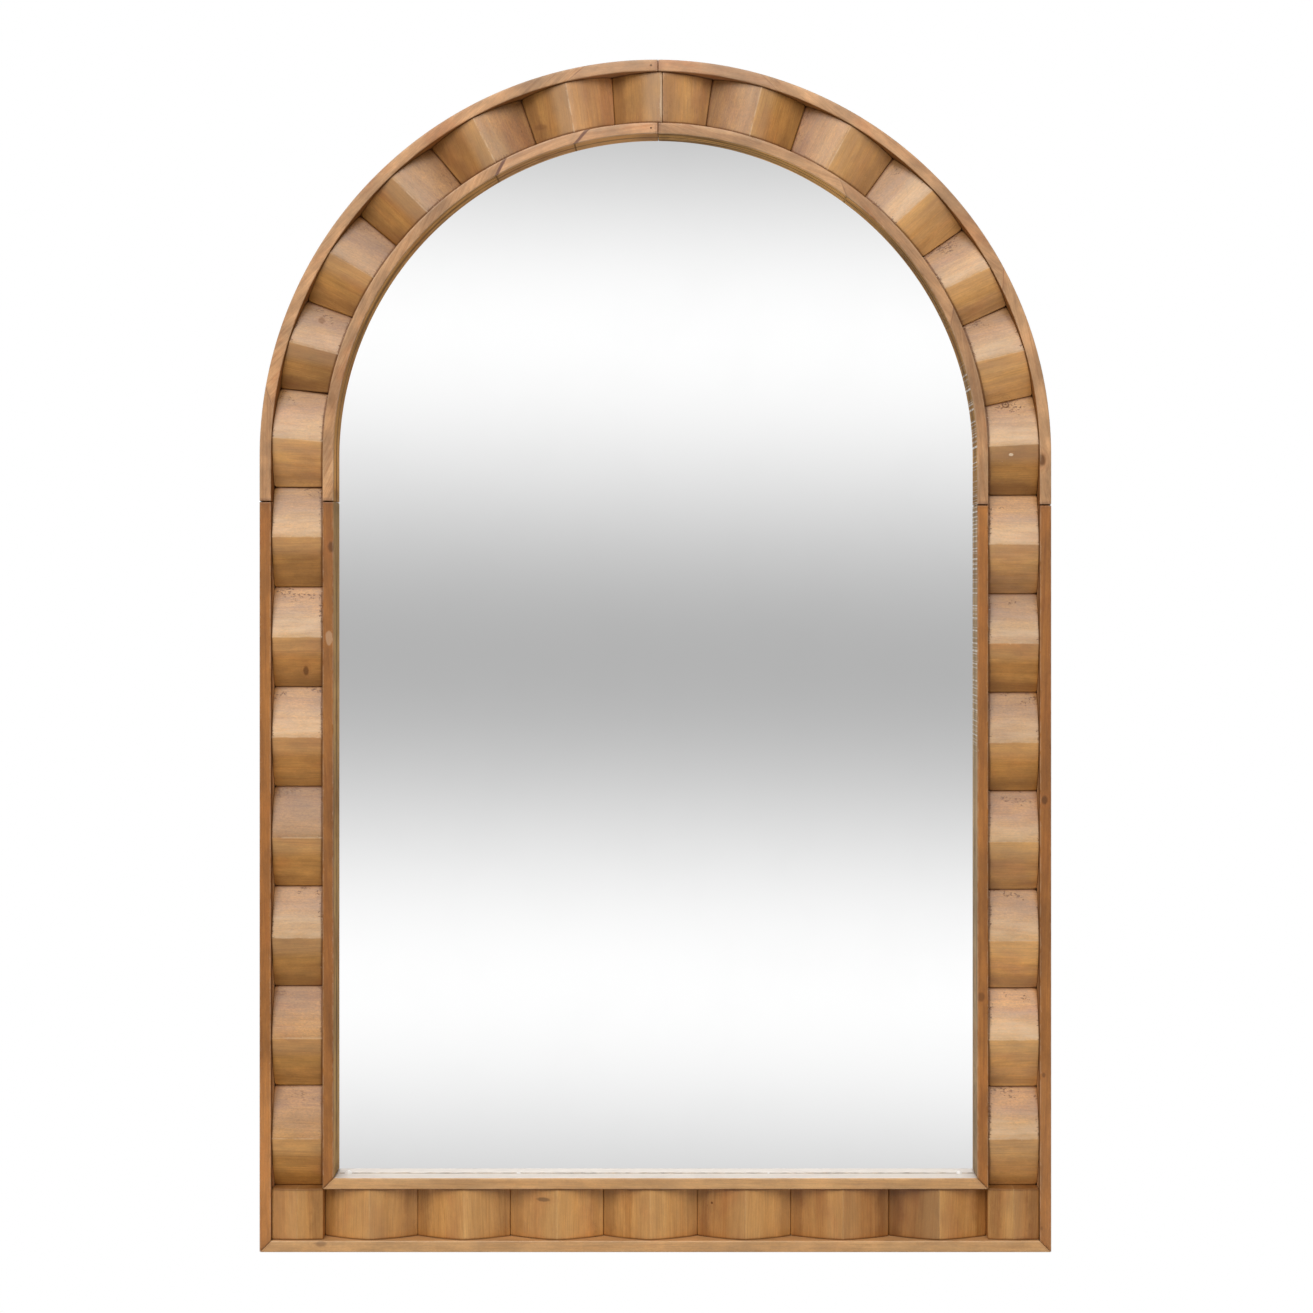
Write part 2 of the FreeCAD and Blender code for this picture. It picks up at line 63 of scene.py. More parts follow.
@dataclass(frozen=True)
class FrameSizes:
    """Sizes of the mirror's frame, in metres, the same as the solids have."""

    width: float = 0.792
    height: float = 1.193
    depth: float = 0.038
    outer_rail: float = 0.0115
    inner_rail: float = 0.011
    channel: float = 0.0515
    base: float = 0.012
    valley: float = 0.006
    ridge: float = 0.024
    crown: float = 0.0019
    fit: float = 0.0003
    gap: float = 0.0003
    mitre_gap: float = 0.0003
    seam_gap: float = 0.0012
    apex_gap: float = 0.0005
    apex_seam: float = 0.0026
    left_seam_drop: float = 0.046
    right_seam_drop: float = 0.0495
    left_joint_drop: float = 0.031
    right_joint_drop: float = 0.039
    rebate_width: float = 0.006
    rebate_depth: float = 0.016
    skin: float = 0.00001

    @property
    def half(self) -> float:
        """Half the frame's width."""
        return self.width / 2

    @property
    def spring(self) -> float:
        """Height at which the arch begins."""
        return self.height - self.half

    @property
    def back(self) -> float:
        """The frame's back, as a y."""
        return self.depth / 2

    @property
    def channel_in(self) -> float:
        """Inset of the channel's inner wall."""
        return self.outer_rail + self.channel

    @property
    def channel_mid(self) -> float:
        """Inset of the channel's middle."""
        return self.outer_rail + self.channel / 2

    @property
    def opening(self) -> float:
        """Inset of the opening that the mirror shows through."""
        return self.channel_in + self.inner_rail

    @property
    def mid_radius(self) -> float:
        """Radius of the channel's middle round the arch."""
        return self.half - self.channel_mid


SIZES = FrameSizes()


class Side(Enum):
    """The two sides of the frame, as the viewer sees them."""

    LEFT = -1
    RIGHT = 1

    @property
    def label(self) -> str:
        """The side's name in the pieces' names."""
        return self.name.lower()


# ---------------- node wiring


@dataclass(frozen=True)
class Signal:
    """What runs through a node tree. A sum that is written on it adds the Math node that works it out."""

    graph: "Graph"
    socket: Socket

    def __add__(self, other: "Value") -> "Signal":
        """Add a number to it."""
        return self.graph.maths("ADD", self, other)

    def __sub__(self, other: "Value") -> "Signal":
        """Take a number from it."""
        return self.graph.maths("SUBTRACT", self, other)

    def __rsub__(self, other: "Value") -> "Signal":
        """Take it from a number."""
        return self.graph.maths("SUBTRACT", other, self)

    def __mul__(self, other: "Value") -> "Signal":
        """Multiply it by a number."""
        return self.graph.maths("MULTIPLY", self, other)

    def __truediv__(self, other: "Value") -> "Signal":
        """Divide it by a number."""
        return self.graph.maths("DIVIDE", self, other)

    def highest(self, other: "Value") -> "Signal":
        """Give the higher of it and a number."""
        return self.graph.maths("MAXIMUM", self, other)

    def clamped(self) -> "Signal":
        """Keep the sum that it comes from between 0 and 1."""
        self.socket.node.use_clamp = True
        return self

    def fade(self, start: "Value", end: "Value", low: "Value" = 0.0, high: "Value" = 1.0) -> "Signal":
        """Go smoothly from low, where it is at start, to high, where it is at end."""
        feeds = dict(enumerate((self, start, end, low, high)))
        return self.graph.made("ShaderNodeMapRange", feeds, interpolation_type="SMOOTHSTEP")

    def scaled(self, factor: "Value") -> "Signal":
        """Multiply a colour by a number."""
        return self.graph.made("ShaderNodeVectorMath", {0: self, "Scale": factor}, operation="SCALE")

    def mixed(self, colour: "Value", share: "Value") -> "Signal":
        """Mix a share of another colour into a colour."""
        return self.graph.blend(share, self, colour)


Value = Union[Signal, float, tuple]


@dataclass
class Graph:
    """A node tree, with short ways to add nodes and join them."""

    tree: bpy.types.NodeTree
    placed: int = 0
    columns: int = 12
    spacing: Point = (210.0, -190.0)

    def add(self, kind: str, **settings: object) -> bpy.types.Node:
        """Add a node.

        Args:
            kind: the node's type name.
            settings: attributes to set on it.

        Returns:
            The node.
        """
        node = self.tree.nodes.new(kind)
        row, column = divmod(self.placed, self.columns)
        node.location = (self.spacing[0] * column, self.spacing[1] * row)
        self.placed += 1
        for name, value in settings.items():
            setattr(node, name, value)
        return node

    def feed(self, socket: Socket, value: Value) -> None:
        """Link a socket to a signal, or set its own value.

        Args:
            socket: the input.
            value: what it takes.
        """
        if isinstance(value, Signal):
            self.tree.links.new(value.socket, socket)
        elif isinstance(value, tuple) and len(value) == 3 and socket.type == "RGBA":
            socket.default_value = (*value, 1.0)
        else:
            socket.default_value = value

    def made(
        self, kind: str, feeds: dict[Union[int, str], Value], give: Union[int, str] = 0, **settings: object,
    ) -> Signal:
        """Add a node, feed it and take one of its outputs.

        Args:
            kind: the node's type name.
            feeds: what its inputs take, by number or name.
            give: the output to take, by number or name.
            settings: attributes to set on it.

        Returns:
            The output.
        """
        node = self.add(kind, **settings)
        for label, value in feeds.items():
            self.feed(node.inputs[label], value)
        return Signal(self, node.outputs[give])

    def maths(self, operation: str, first: Value, second: Value = 0.0) -> Signal:
        """Work out a number from one or two others."""
        return self.made("ShaderNodeMath", {0: first, 1: second}, operation=operation)

    def vector(self, operation: str, first: Value, second: Value) -> Signal:
        """Work out a vector from two others."""
        return self.made("ShaderNodeVectorMath", {0: first, 1: second}, operation=operation)

    def length(self, first: Value) -> Signal:
        """Give a vector's length."""
        return self.made("ShaderNodeVectorMath", {0: first}, "Value", operation="LENGTH")

    def split(self, first: Value) -> tuple[Signal, Signal, Signal]:
        """Give a vector's three numbers."""
        x = self.made("ShaderNodeSeparateXYZ", {0: first})
        y, z = (Signal(self, x.socket.node.outputs[number]) for number in (1, 2))
        return x, y, z

    def join(self, x: Value, y: Value, z: Value) -> Signal:
        """Give the vector of three numbers."""
        return self.made("ShaderNodeCombineXYZ", {0: x, 1: y, 2: z})

    def attribute(self, name: str) -> Signal:
        """Read a vector that the mesh carries."""
        return self.made("ShaderNodeAttribute", {}, "Vector", attribute_type="GEOMETRY", attribute_name=name)

    def place(self) -> Signal:
        """Read where a point of the object lies."""
        return self.made("ShaderNodeTexCoord", {}, "Object")

    def blend(self, share: Value, first: Value, second: Value) -> Signal:
        """Mix two colours, with a share of the second."""
        feeds = {0: share, 6: first, 7: second}
        return self.made("ShaderNodeMix", feeds, 2, data_type="RGBA", blend_type="MIX")

    def cloud(
        self, at: Value, scale: Triple, detail: float = 2.0, roughness: float = 0.5,
    ) -> Signal:
        """Add a stretched noise.

        Args:
            at: where the noise is read.
            scale: cycles per metre along each axis.
            detail: octaves of the noise.
            roughness: how much each octave keeps.

        Returns:
            The noise, from 0 to 1.
        """
        feeds = {
            "Vector": self.vector("MULTIPLY", at, scale), "Scale": 1.0, "Detail": detail, "Roughness": roughness,
        }
        return self.made("ShaderNodeTexNoise", feeds)

    def bump(self, height: Value, distance: float, strength: float = 1.0) -> Signal:
        """Turn a height from 0 to 1 into a normal.

        Args:
            height: the height.
            distance: how far a height of 1 stands, in metres.
            strength: how much of it shows.

        Returns:
            The normal.
        """
        return self.made("ShaderNodeBump", {"Strength": strength, "Distance": distance, "Height": height})


# ---------------- shared effects


class SharedEffect:
    """A shader node group that several finishes use, built once."""

    name: str = ""
    vectors: tuple[str, ...] = ("grain",)
    numbers: tuple[str, ...] = ()

    def wire(self, graph: Graph, taken: SimpleNamespace) -> dict[str, Signal]:
        """Build the effect's nodes.

        Args:
            graph: the group's own tree.
            taken: the group's inputs.

        Returns:
            What the group gives, by name.
        """
        raise NotImplementedError

    def group(self) -> bpy.types.NodeTree:
        """Give the effect's node group, building it the first time.

        Returns:
            The group.
        """
        found = bpy.data.node_groups.get(self.name)
        if found:
            return found
        tree = bpy.data.node_groups.new(self.name, "ShaderNodeTree")
        for labels, kind in ((self.vectors, "NodeSocketVector"), (self.numbers, "NodeSocketFloat")):
            for label in labels:
                tree.interface.new_socket(name=label, in_out="INPUT", socket_type=kind)
        graph = Graph(tree)
        enter = graph.add("NodeGroupInput")
        taken = {label: Signal(graph, enter.outputs[label]) for label in self.vectors + self.numbers}
        given = self.wire(graph, SimpleNamespace(**taken))
        for label in given:
            tree.interface.new_socket(name=label, in_out="OUTPUT", socket_type="NodeSocketFloat")
        leave = graph.add("NodeGroupOutput")
        for label, value in given.items():
            graph.feed(leave.inputs[label], value)
        return tree

    def put(self, graph: Graph, **values: Value) -> SimpleNamespace:
        """Put the effect in a material.

        Args:
            graph: the material's tree.
            values: what the group takes, by name.

        Returns:
            What the group gives.
        """
        node = graph.add("ShaderNodeGroup", node_tree=self.group())
        for label, value in values.items():
            graph.feed(node.inputs[label], value)
        return SimpleNamespace(**{socket.name: Signal(graph, socket) for socket in node.outputs})


class TimberFigure(SharedEffect):
    """Growth rings, fibres, tone streaks and a knot, cut through by the piece's faces."""

    name = "timber_figure"
    vectors = ("grain", "knot", "pith")
    numbers = ("kind", "ring_width", "wander")

    def wire(self, graph: Graph, taken: SimpleNamespace) -> dict[str, Signal]:
        """Work out the knot, then the year rings that bend round it, then the finer figure."""
        grain, kind = taken.grain, taken.kind
        along, across, strength = graph.split(taken.knot)
        apart = graph.length(graph.join(along, across, 0.0))
        reach = apart + (graph.cloud(grain, (160.0, 260.0, 260.0)) - 0.5) * 0.5
        grown = kind.fade(0.3, 0.2)
        rim = graph.maths("ABSOLUTE", apart - 0.8).fade(0.30, 0.10)
        eye = rim.highest(apart.fade(0.26, 0.12)) * kind.fade(0.2, 0.3) * kind.fade(0.8, 0.7)
        knot = (reach.fade(1.15, 0.55) * grown).highest(eye) * strength
        halo = reach.fade(2.4, 0.8) * strength * grown
        chip = reach.fade(1.1, 0.8) * kind.fade(0.7, 0.8) * strength

        slow = graph.cloud(grain, (7.0, 24.0, 24.0), 1.0)
        quick = graph.cloud(grain, (30.0, 320.0, 320.0))
        radial = graph.vector("MULTIPLY", graph.vector("SUBTRACT", grain, taken.pith), (0.0, 1.0, 1.0))
        distance = graph.length(radial) + (slow - 0.5) * taken.wander + (quick - 0.5) * 0.0009 + halo * 0.004
        uneven = graph.made(
            "ShaderNodeTexNoise", {"W": distance * 130.0, "Scale": 1.0, "Detail": 1.0}, noise_dimensions="1D",
        )
        rings = distance / taken.ring_width + uneven * 1.6
        phase = graph.maths("FRACT", rings)
        year = graph.made("ShaderNodeTexWhiteNoise", {"W": graph.maths("FLOOR", rings)}, noise_dimensions="1D")
        late = phase.fade(0.25, 0.9) * phase.fade(1.0, 0.92) * year.fade(0.0, 1.0, 0.35, 1.0)
        return {
            "latewood": late,
            "fibre": graph.cloud(grain, (38.0, 1250.0, 1250.0), 2.0, 0.6),
            "streak": graph.cloud(grain, (9.0, 300.0, 300.0), 2.0, 0.55),
            "hair": graph.cloud(grain, (15.0, 820.0, 820.0), 2.0, 0.6),
            "speckle": graph.cloud(grain, (360.0, 700.0, 700.0), 3.0, 0.75),
            "band": graph.cloud(grain, (4.0, 70.0, 70.0), 1.0),
            "knot": knot, "halo": halo, "chip": chip,
        }


class EdgeWear(SharedEffect):
    """Broken rubbing along an arris or a ridge."""

    name = "edge_wear"
    numbers = ("distance", "width", "amount")

    def wire(self, graph: Graph, taken: SimpleNamespace) -> dict[str, Signal]:
        """Work out the rubbed patches near the edge, and the chips farther in."""
        patch = graph.cloud(taken.grain, (90.0, 160.0, 160.0), 2.0, 0.6)
        speck = graph.cloud(taken.grain, (420.0, 620.0, 620.0), 2.0, 0.6)
        near = (taken.distance / ((patch + 0.5) * taken.width)).fade(1.0, 0.1)
        about = (taken.distance / taken.width).fade(2.2, 0.6)
        return {
            "wear": (near * patch.fade(0.3, 0.62) * taken.amount).clamped(),
            "chips": (about * speck.fade(0.62, 0.7) * taken.amount).clamped(),
        }


class HandledGrime(SharedEffect):
    """A thin dark line where one piece meets the next, and a band about it: grime and stain, and painted shade in the
    valleys between blocks and beside the rails.
    """

    name = "handled_grime"
    numbers = ("distance", "reach", "width")

    def wire(self, graph: Graph, taken: SimpleNamespace) -> dict[str, Signal]:
        """Work out the thin line at the joint, and the band of grime and painted shade about it."""
        uneven = graph.cloud(taken.grain, (70.0, 110.0, 110.0), 2.0, 0.6) + 0.5
        share = taken.distance / (taken.reach * uneven)
        return {
            "line": (taken.distance / (taken.width * uneven)).fade(1.0, 0.45),
            # the shade band is painted shade, partly grime
            "shade": share.fade(1.0, 0.5) * share.fade(-0.05, 0.32, 0.4, 1.0),
        }


class TornGrain(SharedEffect):
    """Small dark tears where the saw and the plane lifted the grain by a joint or a rail."""

    name = "torn_grain"
    numbers = ("joint", "rail", "amount")

    def wire(self, graph: Graph, taken: SimpleNamespace) -> dict[str, Signal]:
        """Work out where the grain was lifted, and the tears there."""
        where = graph.cloud(taken.grain, (48.0, 70.0, 70.0), 1.0)
        tear = graph.cloud(taken.grain, (330.0, 620.0, 620.0), 2.0, 0.65)
        by_joint = taken.joint.fade(0.022, 0.004) * where.fade(0.50, 0.60)
        by_rail = taken.rail.fade(0.0055, 0.001) * where.fade(0.40, 0.55)
        near = by_joint.highest(by_rail * 0.9)
        pits = (tear - (0.695 - near * 0.165)).fade(0.0, 0.05) * near.fade(0.05, 0.4)
        return {"pits": (pits * taken.amount).clamped()}


class RolledMetal(SharedEffect):
    """Rolling lines and dull spots of plated steel."""

    name = "rolled_metal"
    vectors = ("at",)

    def wire(self, graph: Graph, taken: SimpleNamespace) -> dict[str, Signal]:
        """Work out the lines, which run up the steel, and the spots."""
        return {
            "lines": graph.cloud(taken.at, (2400.0, 2400.0, 60.0), 2.0, 0.6),
            "spots": graph.cloud(taken.at, (240.0, 240.0, 240.0), 3.0, 0.6),
        }


class PressedFibre(SharedEffect):
    """Matted fibres of hardboard and the lint on rubber."""

    name = "pressed_fibre"
    vectors = ("at",)

    def wire(self, graph: Graph, taken: SimpleNamespace) -> dict[str, Signal]:
        """Work out the mat of fibres and the paler flecks."""
        return {
            "mat": graph.cloud(taken.at, (700.0, 700.0, 700.0), 4.0, 0.7),
            "fleck": graph.cloud(taken.at, (260.0, 900.0, 260.0), 2.0, 0.6).fade(0.6, 0.7),
        }


FIGURE, WEAR, SHADE_AND_GRIME, TORN = TimberFigure(), EdgeWear(), HandledGrime(), TornGrain()
ROLLED, PRESSED = RolledMetal(), PressedFibre()


# ---------------- finishes


@dataclass(frozen=True)
class Finish:
    """A material with a Principled shader, which each kind of finish paints in its own way."""

    name: str

    def paint(self, graph: Graph) -> dict[str, Value]:
        """Give what the shader's sockets take, by name."""
        raise NotImplementedError

    def surface(self, graph: Graph, shader: Signal) -> Signal:
        """Give what the surface shows: the shader, unless a finish adds to it."""
        return shader

    def material(self) -> Material:
        """Build the finish's material.

        Returns:
            The material.
        """
        material = bpy.data.materials.new(self.name)
        material.use_nodes = True
        material.node_tree.nodes.clear()
        graph = Graph(material.node_tree)
        shader = graph.add("ShaderNodeBsdfPrincipled")
        output = graph.add("ShaderNodeOutputMaterial")
        graph.feed(output.inputs["Surface"], self.surface(graph, Signal(graph, shader.outputs[0])))
        for label, value in self.paint(graph).items():
            graph.feed(shader.inputs[label], value)
        return material


@dataclass(frozen=True)
class WoodFinish(Finish):
    """Waxed softwood: its timber colours and how its figure, wear, dirt, dust, painted sheen and painted shade show."""

    early: Colour = (0.600, 0.288, 0.062)
    late: Colour = (0.390, 0.148, 0.022)
    red: Colour = (0.400, 0.125, 0.027)
    stain: Colour = (0.125, 0.040, 0.008)
    bare: Colour = (0.760, 0.560, 0.365)
    knot: Colour = (0.140, 0.048, 0.008)
    # tint of the pale veil: dust, and on the upward flanks painted sheen of the overhead lamp
    dust: Colour = (0.545, 0.400, 0.330)
    ring_width: float = 0.0034
    wander: float = 0.010
    contrast: float = 0.30
    lines: float = 0.26
    hairs: float = 0.30
    speckle: float = 0.42
    band: float = 0.34
    blotch: float = 0.13
    cloudy: float = 0.13
    blush: float = 0.30
    roughness: float = 0.40
    wear_width: float = 0.0011
    fray_width: float = 0.0008
    wear: float = 0.6
    # crest: how much paler the downward flanks are painted near their ridge, a painted highlight
    crest: float = 0.15
    reach: float = 0.016
    shade: float = 0.36
    rail_reach: float = 0.0030
    rail_shade: float = 0.10
    joint_line: float = 0.0013
    rail_line: float = 0.0017
    line: float = 0.66
    pits: float = 0.85
    wax: float = 0.35
    wax_roughness: float = 0.30
    gloss: float = 0.4
    relief: float = 0.00026
    layers: float = 0.0
    glass_line: float = 0.0
    ticks: float = 0.0
    ticked: Point = (0.52, 0.90)
    grade: Point = (1.0, 1.0)
    lip: float = 0.0
    lip_depth: float = 0.010

    def timber(
        self, graph: Graph, grain: Signal, light: Signal, redness: Signal, figure: SimpleNamespace, sawn: Signal,
    ) -> Signal:
        """Colour the bare timber by its figure.

        Args:
            graph: the material's tree.
            grain: the mesh's grain vector.
            light: how light the timber is.
            redness: how red it is.
            figure: what the shared figure gives.
            sawn: 1 on the upward flanks, whose speckle is stronger, 0 elsewhere.

        Returns:
            The timber's colour.
        """
        colour = graph.blend(figure.latewood * self.contrast, self.early, self.late)
        for mask, start, end, strength in (
            (figure.band, 0.38, 0.64, self.band),
            (figure.streak, 0.54, 0.68, self.lines),
            (figure.hair, 0.55, 0.66, self.hairs),
        ):
            colour = colour.mixed(self.late, mask.fade(start, end) * strength)
        flush = graph.cloud(grain, (15.0, 34.0, 34.0), 3.0, 0.6).fade(0.50, 0.68)
        colour = colour.mixed(self.red, (redness * 0.6 + flush * self.blush).clamped())
        colour = colour.scaled(figure.fibre.fade(0.3, 0.7, 0.92, 1.07))
        strength = sawn.fade(0.0, 1.0, self.speckle, self.speckle * 2.8)
        colour = colour.scaled((figure.speckle - 0.5) * strength + 1.0)
        patch = graph.cloud(grain, (38.0, 75.0, 75.0), 3.0, 0.6)
        colour = colour.scaled(patch.fade(0.3, 0.7, 1 - self.blotch, 1 + self.blotch * 0.7))
        broad = graph.cloud(grain, (12.0, 27.0, 27.0), 2.0, 0.5)
        colour = colour.scaled(broad.fade(0.32, 0.68, 1 - self.cloudy, 1 + self.cloudy * 0.8))
        return colour.scaled(light)

    def wall_marks(self, graph: Graph, grain: Signal, colour: Signal) -> Signal:
        """Add what marks a rail's wall: layers, pale ticks of old glue, a painted shadow strip near its front, and dirt
        by the glass.

        Args:
            graph: the material's tree.
            grain: the mesh's grain vector.
            colour: the wall's colour so far.

        Returns:
            The marked colour.
        """
        _, y, z = graph.split(graph.place())
        # graded with height: with arch_wall_right's grade, darker towards the arch's foot and lighter towards its top
        colour = colour.scaled(z.fade(0.86, 1.10, *self.grade))
        if self.layers:
            layer = graph.cloud(grain, (5.0, 0.0, 210.0), 1.0).fade(0.52, 0.58)
            colour = colour.mixed(self.stain, layer * self.layers)
        if self.ticks:
            low, high = self.ticked
            cells = graph.cloud(graph.join(0.0, 0.0, z), (1.0, 1.0, 400.0), 2.0, 0.7).fade(0.52, 0.58)
            broken = graph.cloud(graph.join(0.0, y, z), (1.0, 420.0, 90.0), 2.0, 0.6).fade(0.38, 0.50)
            tick = cells * broken * z.fade(low - 0.03, low) * z.fade(high, high - 0.03)
            colour = colour.mixed(self.bare, tick * self.ticks)
        # painted shadow: a dark strip near the wall's front, where the gap beside the blocks lies in shade
        if self.lip:
            brink = self.lip_depth - SIZES.back
            colour = colour.mixed(self.stain, y.fade(brink + 0.0015, brink - 0.0015, 0.0, self.lip))
        if self.glass_line:
            glass = SIZES.back - SIZES.rebate_depth
            wavy = y + (graph.cloud(grain, (60.0, 0.0, 0.0), 2.0, 0.6) - 0.5) * 0.0025
            colour = colour.mixed(self.stain, wavy.fade(glass - 0.0030, glass - 0.0012) * self.glass_line)
        return colour

    def paint(self, graph: Graph) -> dict[str, Value]:
        """Lay the dust and painted sheen, the dirt and painted shade, the wear and the marks over the timber, and work
        out its wax and its relief.

        Args:
            graph: the material's tree.

        Returns:
            What the shader's sockets take, by name.
        """
        grain = graph.attribute("grain")
        light, redness, dust_and_sheen_amount = graph.split(graph.attribute("tone"))
        joint, rail, ridge = graph.split(graph.attribute("place"))
        # the first number sets how strongly a flank takes painted shade and grime by its valley and a painted highlight
        # near its ridge; it is high on the downward flanks
        shading_and_grime, ragged, kind = graph.split(graph.attribute("weather"))
        # sawn is 1 on the upward flanks, known by their raggedness; they take the painted sheen, and painted shade
        # towards their valley
        sawn = ragged.fade(0.25, 0.4)
        share = ridge / (ridge + joint + 0.0001)
        figure = FIGURE.put(
            graph, grain=grain, knot=graph.attribute("knot"), kind=kind, pith=graph.attribute("pith"),
            ring_width=self.ring_width, wander=self.wander,
        )
        wear = WEAR.put(graph, distance=ridge, width=self.wear_width, amount=self.wear, grain=grain)
        frayed = WEAR.put(graph, distance=rail, width=self.fray_width, amount=ragged, grain=grain)
        by_joint = SHADE_AND_GRIME.put(graph, distance=joint, reach=self.reach, width=self.joint_line, grain=grain)
        by_rail = SHADE_AND_GRIME.put(graph, distance=rail, reach=self.rail_reach, width=self.rail_line, grain=grain)
        torn = TORN.put(graph, joint=joint, rail=rail, amount=ragged, grain=grain)

        # the pale pinkish veil: painted sheen of the overhead lamp on the upward flanks, dust where it is faint
        # elsewhere; this noise makes it patchy
        chalk = graph.cloud(grain, (26.0, 150.0, 150.0), 3.0, 0.6).fade(0.3, 0.7, 0.72, 1.22)
        dust_and_sheen = dust_and_sheen_amount * sawn.fade(0.0, 1.0, 1.0, share.fade(0.0, 0.95, 1.75, 0.45))
        # painted shade: a dark band beside the valley joint on the upward flanks
        seam = joint.fade(0.0038, 0.0004, 0.0, 0.42) * sawn
        # dirt holds painted shade in the valleys as well as grime
        dirt = (by_joint.shade * self.shade * shading_and_grime).highest(seam)
        # painted shade beside the rails on the blocks, partly grime; on the bent rails it is the stain of the scarf
        edge = by_rail.shade * self.rail_shade
        lines = (by_joint.line * sawn.fade(0.0, 1.0, 0.25, 1.0)).highest(by_rail.line) * self.line
        colour = self.timber(graph, grain, light, redness, figure, sawn)
        # painted shade: the upward flanks a little darker towards their valley
        colour = colour.scaled(1.0 - share.fade(0.2, 1.0, 0.0, 0.16) * sawn)
        for tint, mask in (
            (self.red, figure.halo * 0.22),
            (self.knot, figure.knot * 0.9),
            # painted highlight: the downward flanks paler near their ridge, where they face the light more
            (self.bare, share.fade(0.46, 0.20) * self.crest * shading_and_grime),
            (graph.blend(share.fade(0.62, 0.30), self.dust, self.bare), (dust_and_sheen * chalk).clamped()),
            (self.stain, dirt),
            (self.stain, edge),
            (self.stain, lines),
            (self.bare, wear.wear * 0.55),
            (self.bare, wear.chips * 0.5),
            (self.bare, frayed.chips * 0.6),
            (self.knot, torn.pits * self.pits),
            (self.bare, figure.chip),
        ):
            colour = colour.mixed(tint, mask)

        dull = (dirt + edge).highest(lines.highest(figure.knot)).clamped()
        rough = figure.fibre.fade(0.2, 0.8, self.roughness - 0.05, self.roughness + 0.07)
        raised = figure.fibre * 0.30 + figure.latewood * 0.18 + figure.streak * 0.30 + figure.speckle * 0.40
        height = raised - torn.pits - wear.chips * 0.5 - figure.chip + figure.knot * 0.4
        return {
            "Base Color": self.wall_marks(graph, grain, colour),
            "Roughness": (rough + dull * 0.16 + wear.wear * 0.08).clamped(),
            "Specular IOR Level": self.gloss,
            "Coat Weight": dull.fade(0.0, 0.6, self.wax, 0.0),
            "Coat Roughness": self.wax_roughness,
            "Normal": graph.bump(height, self.relief, 0.9),
        }


@dataclass(frozen=True)
class PlywoodFinish(Finish):
    """Raw plywood: a plain face veneer, and its layers along the sawn edges."""

    face: Colour = (0.52, 0.37, 0.215)
    dark: Colour = (0.34, 0.215, 0.115)
    layer: float = 0.0024

    def paint(self, graph: Graph) -> dict[str, Value]:
        """Paint the veneer with its fibres, and the darker layers between the pale ones."""
        at = graph.place()
        _, y, _ = graph.split(at)
        veneer = graph.cloud(at, (130.0, 130.0, 5.0), 3.0, 0.6)
        fibre = graph.cloud(at, (1500.0, 1500.0, 45.0), 2.0, 0.6)
        phase = graph.maths("FRACT", (y + 1.0) / (self.layer * 2))
        layers = phase.fade(0.45, 0.5) * phase.fade(1.0, 0.95)
        colour = graph.blend(veneer.fade(0.35, 0.7), self.face, self.dark)
        return {
            "Base Color": colour.scaled(fibre.fade(0.3, 0.7, 0.9, 1.08)).mixed(self.dark, layers * 0.45),
            "Roughness": fibre.fade(0.2, 0.8, 0.66, 0.82),
            "Normal": graph.bump(fibre + layers, 0.00015, 0.6),
        }


@dataclass(frozen=True)
class BoardFinish(Finish):
    """Brown hardboard with its matted fibres."""

    brown: Colour = (0.150, 0.083, 0.044)
    pale: Colour = (0.235, 0.145, 0.085)

    def paint(self, graph: Graph) -> dict[str, Value]:
        """Paint the mat of fibres, paler in its flecks and uneven in its brown."""
        at = graph.place()
        pressed = PRESSED.put(graph, at=at)
        cloudy = graph.cloud(at, (14.0, 14.0, 14.0), 3.0, 0.6)
        colour = graph.blend(pressed.mat.fade(0.35, 0.7), self.brown, self.pale)
        return {
            "Base Color": colour.mixed(self.pale, pressed.fleck * 0.5).scaled(cloudy.fade(0.3, 0.7, 0.85, 1.12)),
            "Roughness": pressed.mat.fade(0.3, 0.7, 0.55, 0.8),
            "Normal": graph.bump(pressed.mat, 0.0002, 0.6),
        }


@dataclass(frozen=True)
class MirrorFinish(Finish):
    """Silvered glass, all but clean."""

    silver: Colour = (0.959, 0.960, 0.960)
    filmed: float = 0.985

    def paint(self, graph: Graph) -> dict[str, Value]:
        """Paint the silver, with the faintest film on it."""
        film = graph.cloud(graph.place(), (9.0, 9.0, 9.0), 3.0, 0.6)
        dimmed = tuple(self.filmed * part for part in self.silver)
        return {
            "Base Color": graph.blend(film.fade(0.4, 0.8), self.silver, dimmed),
            "Metallic": 1.0,
            "Roughness": film.fade(0.45, 0.85, 0.0, 0.012),
        }


class Plating(Enum):
    """Metal surfaces: colour, roughness and how dull the spots are."""

    ZINC = ((0.60, 0.61, 0.60), 0.34, 0.22)
    WIRE = ((0.66, 0.66, 0.64), 0.24, 0.16)
    SCREW = ((0.62, 0.60, 0.52), 0.27, 0.20)
    BRAD = ((0.20, 0.17, 0.14), 0.48, 0.25)


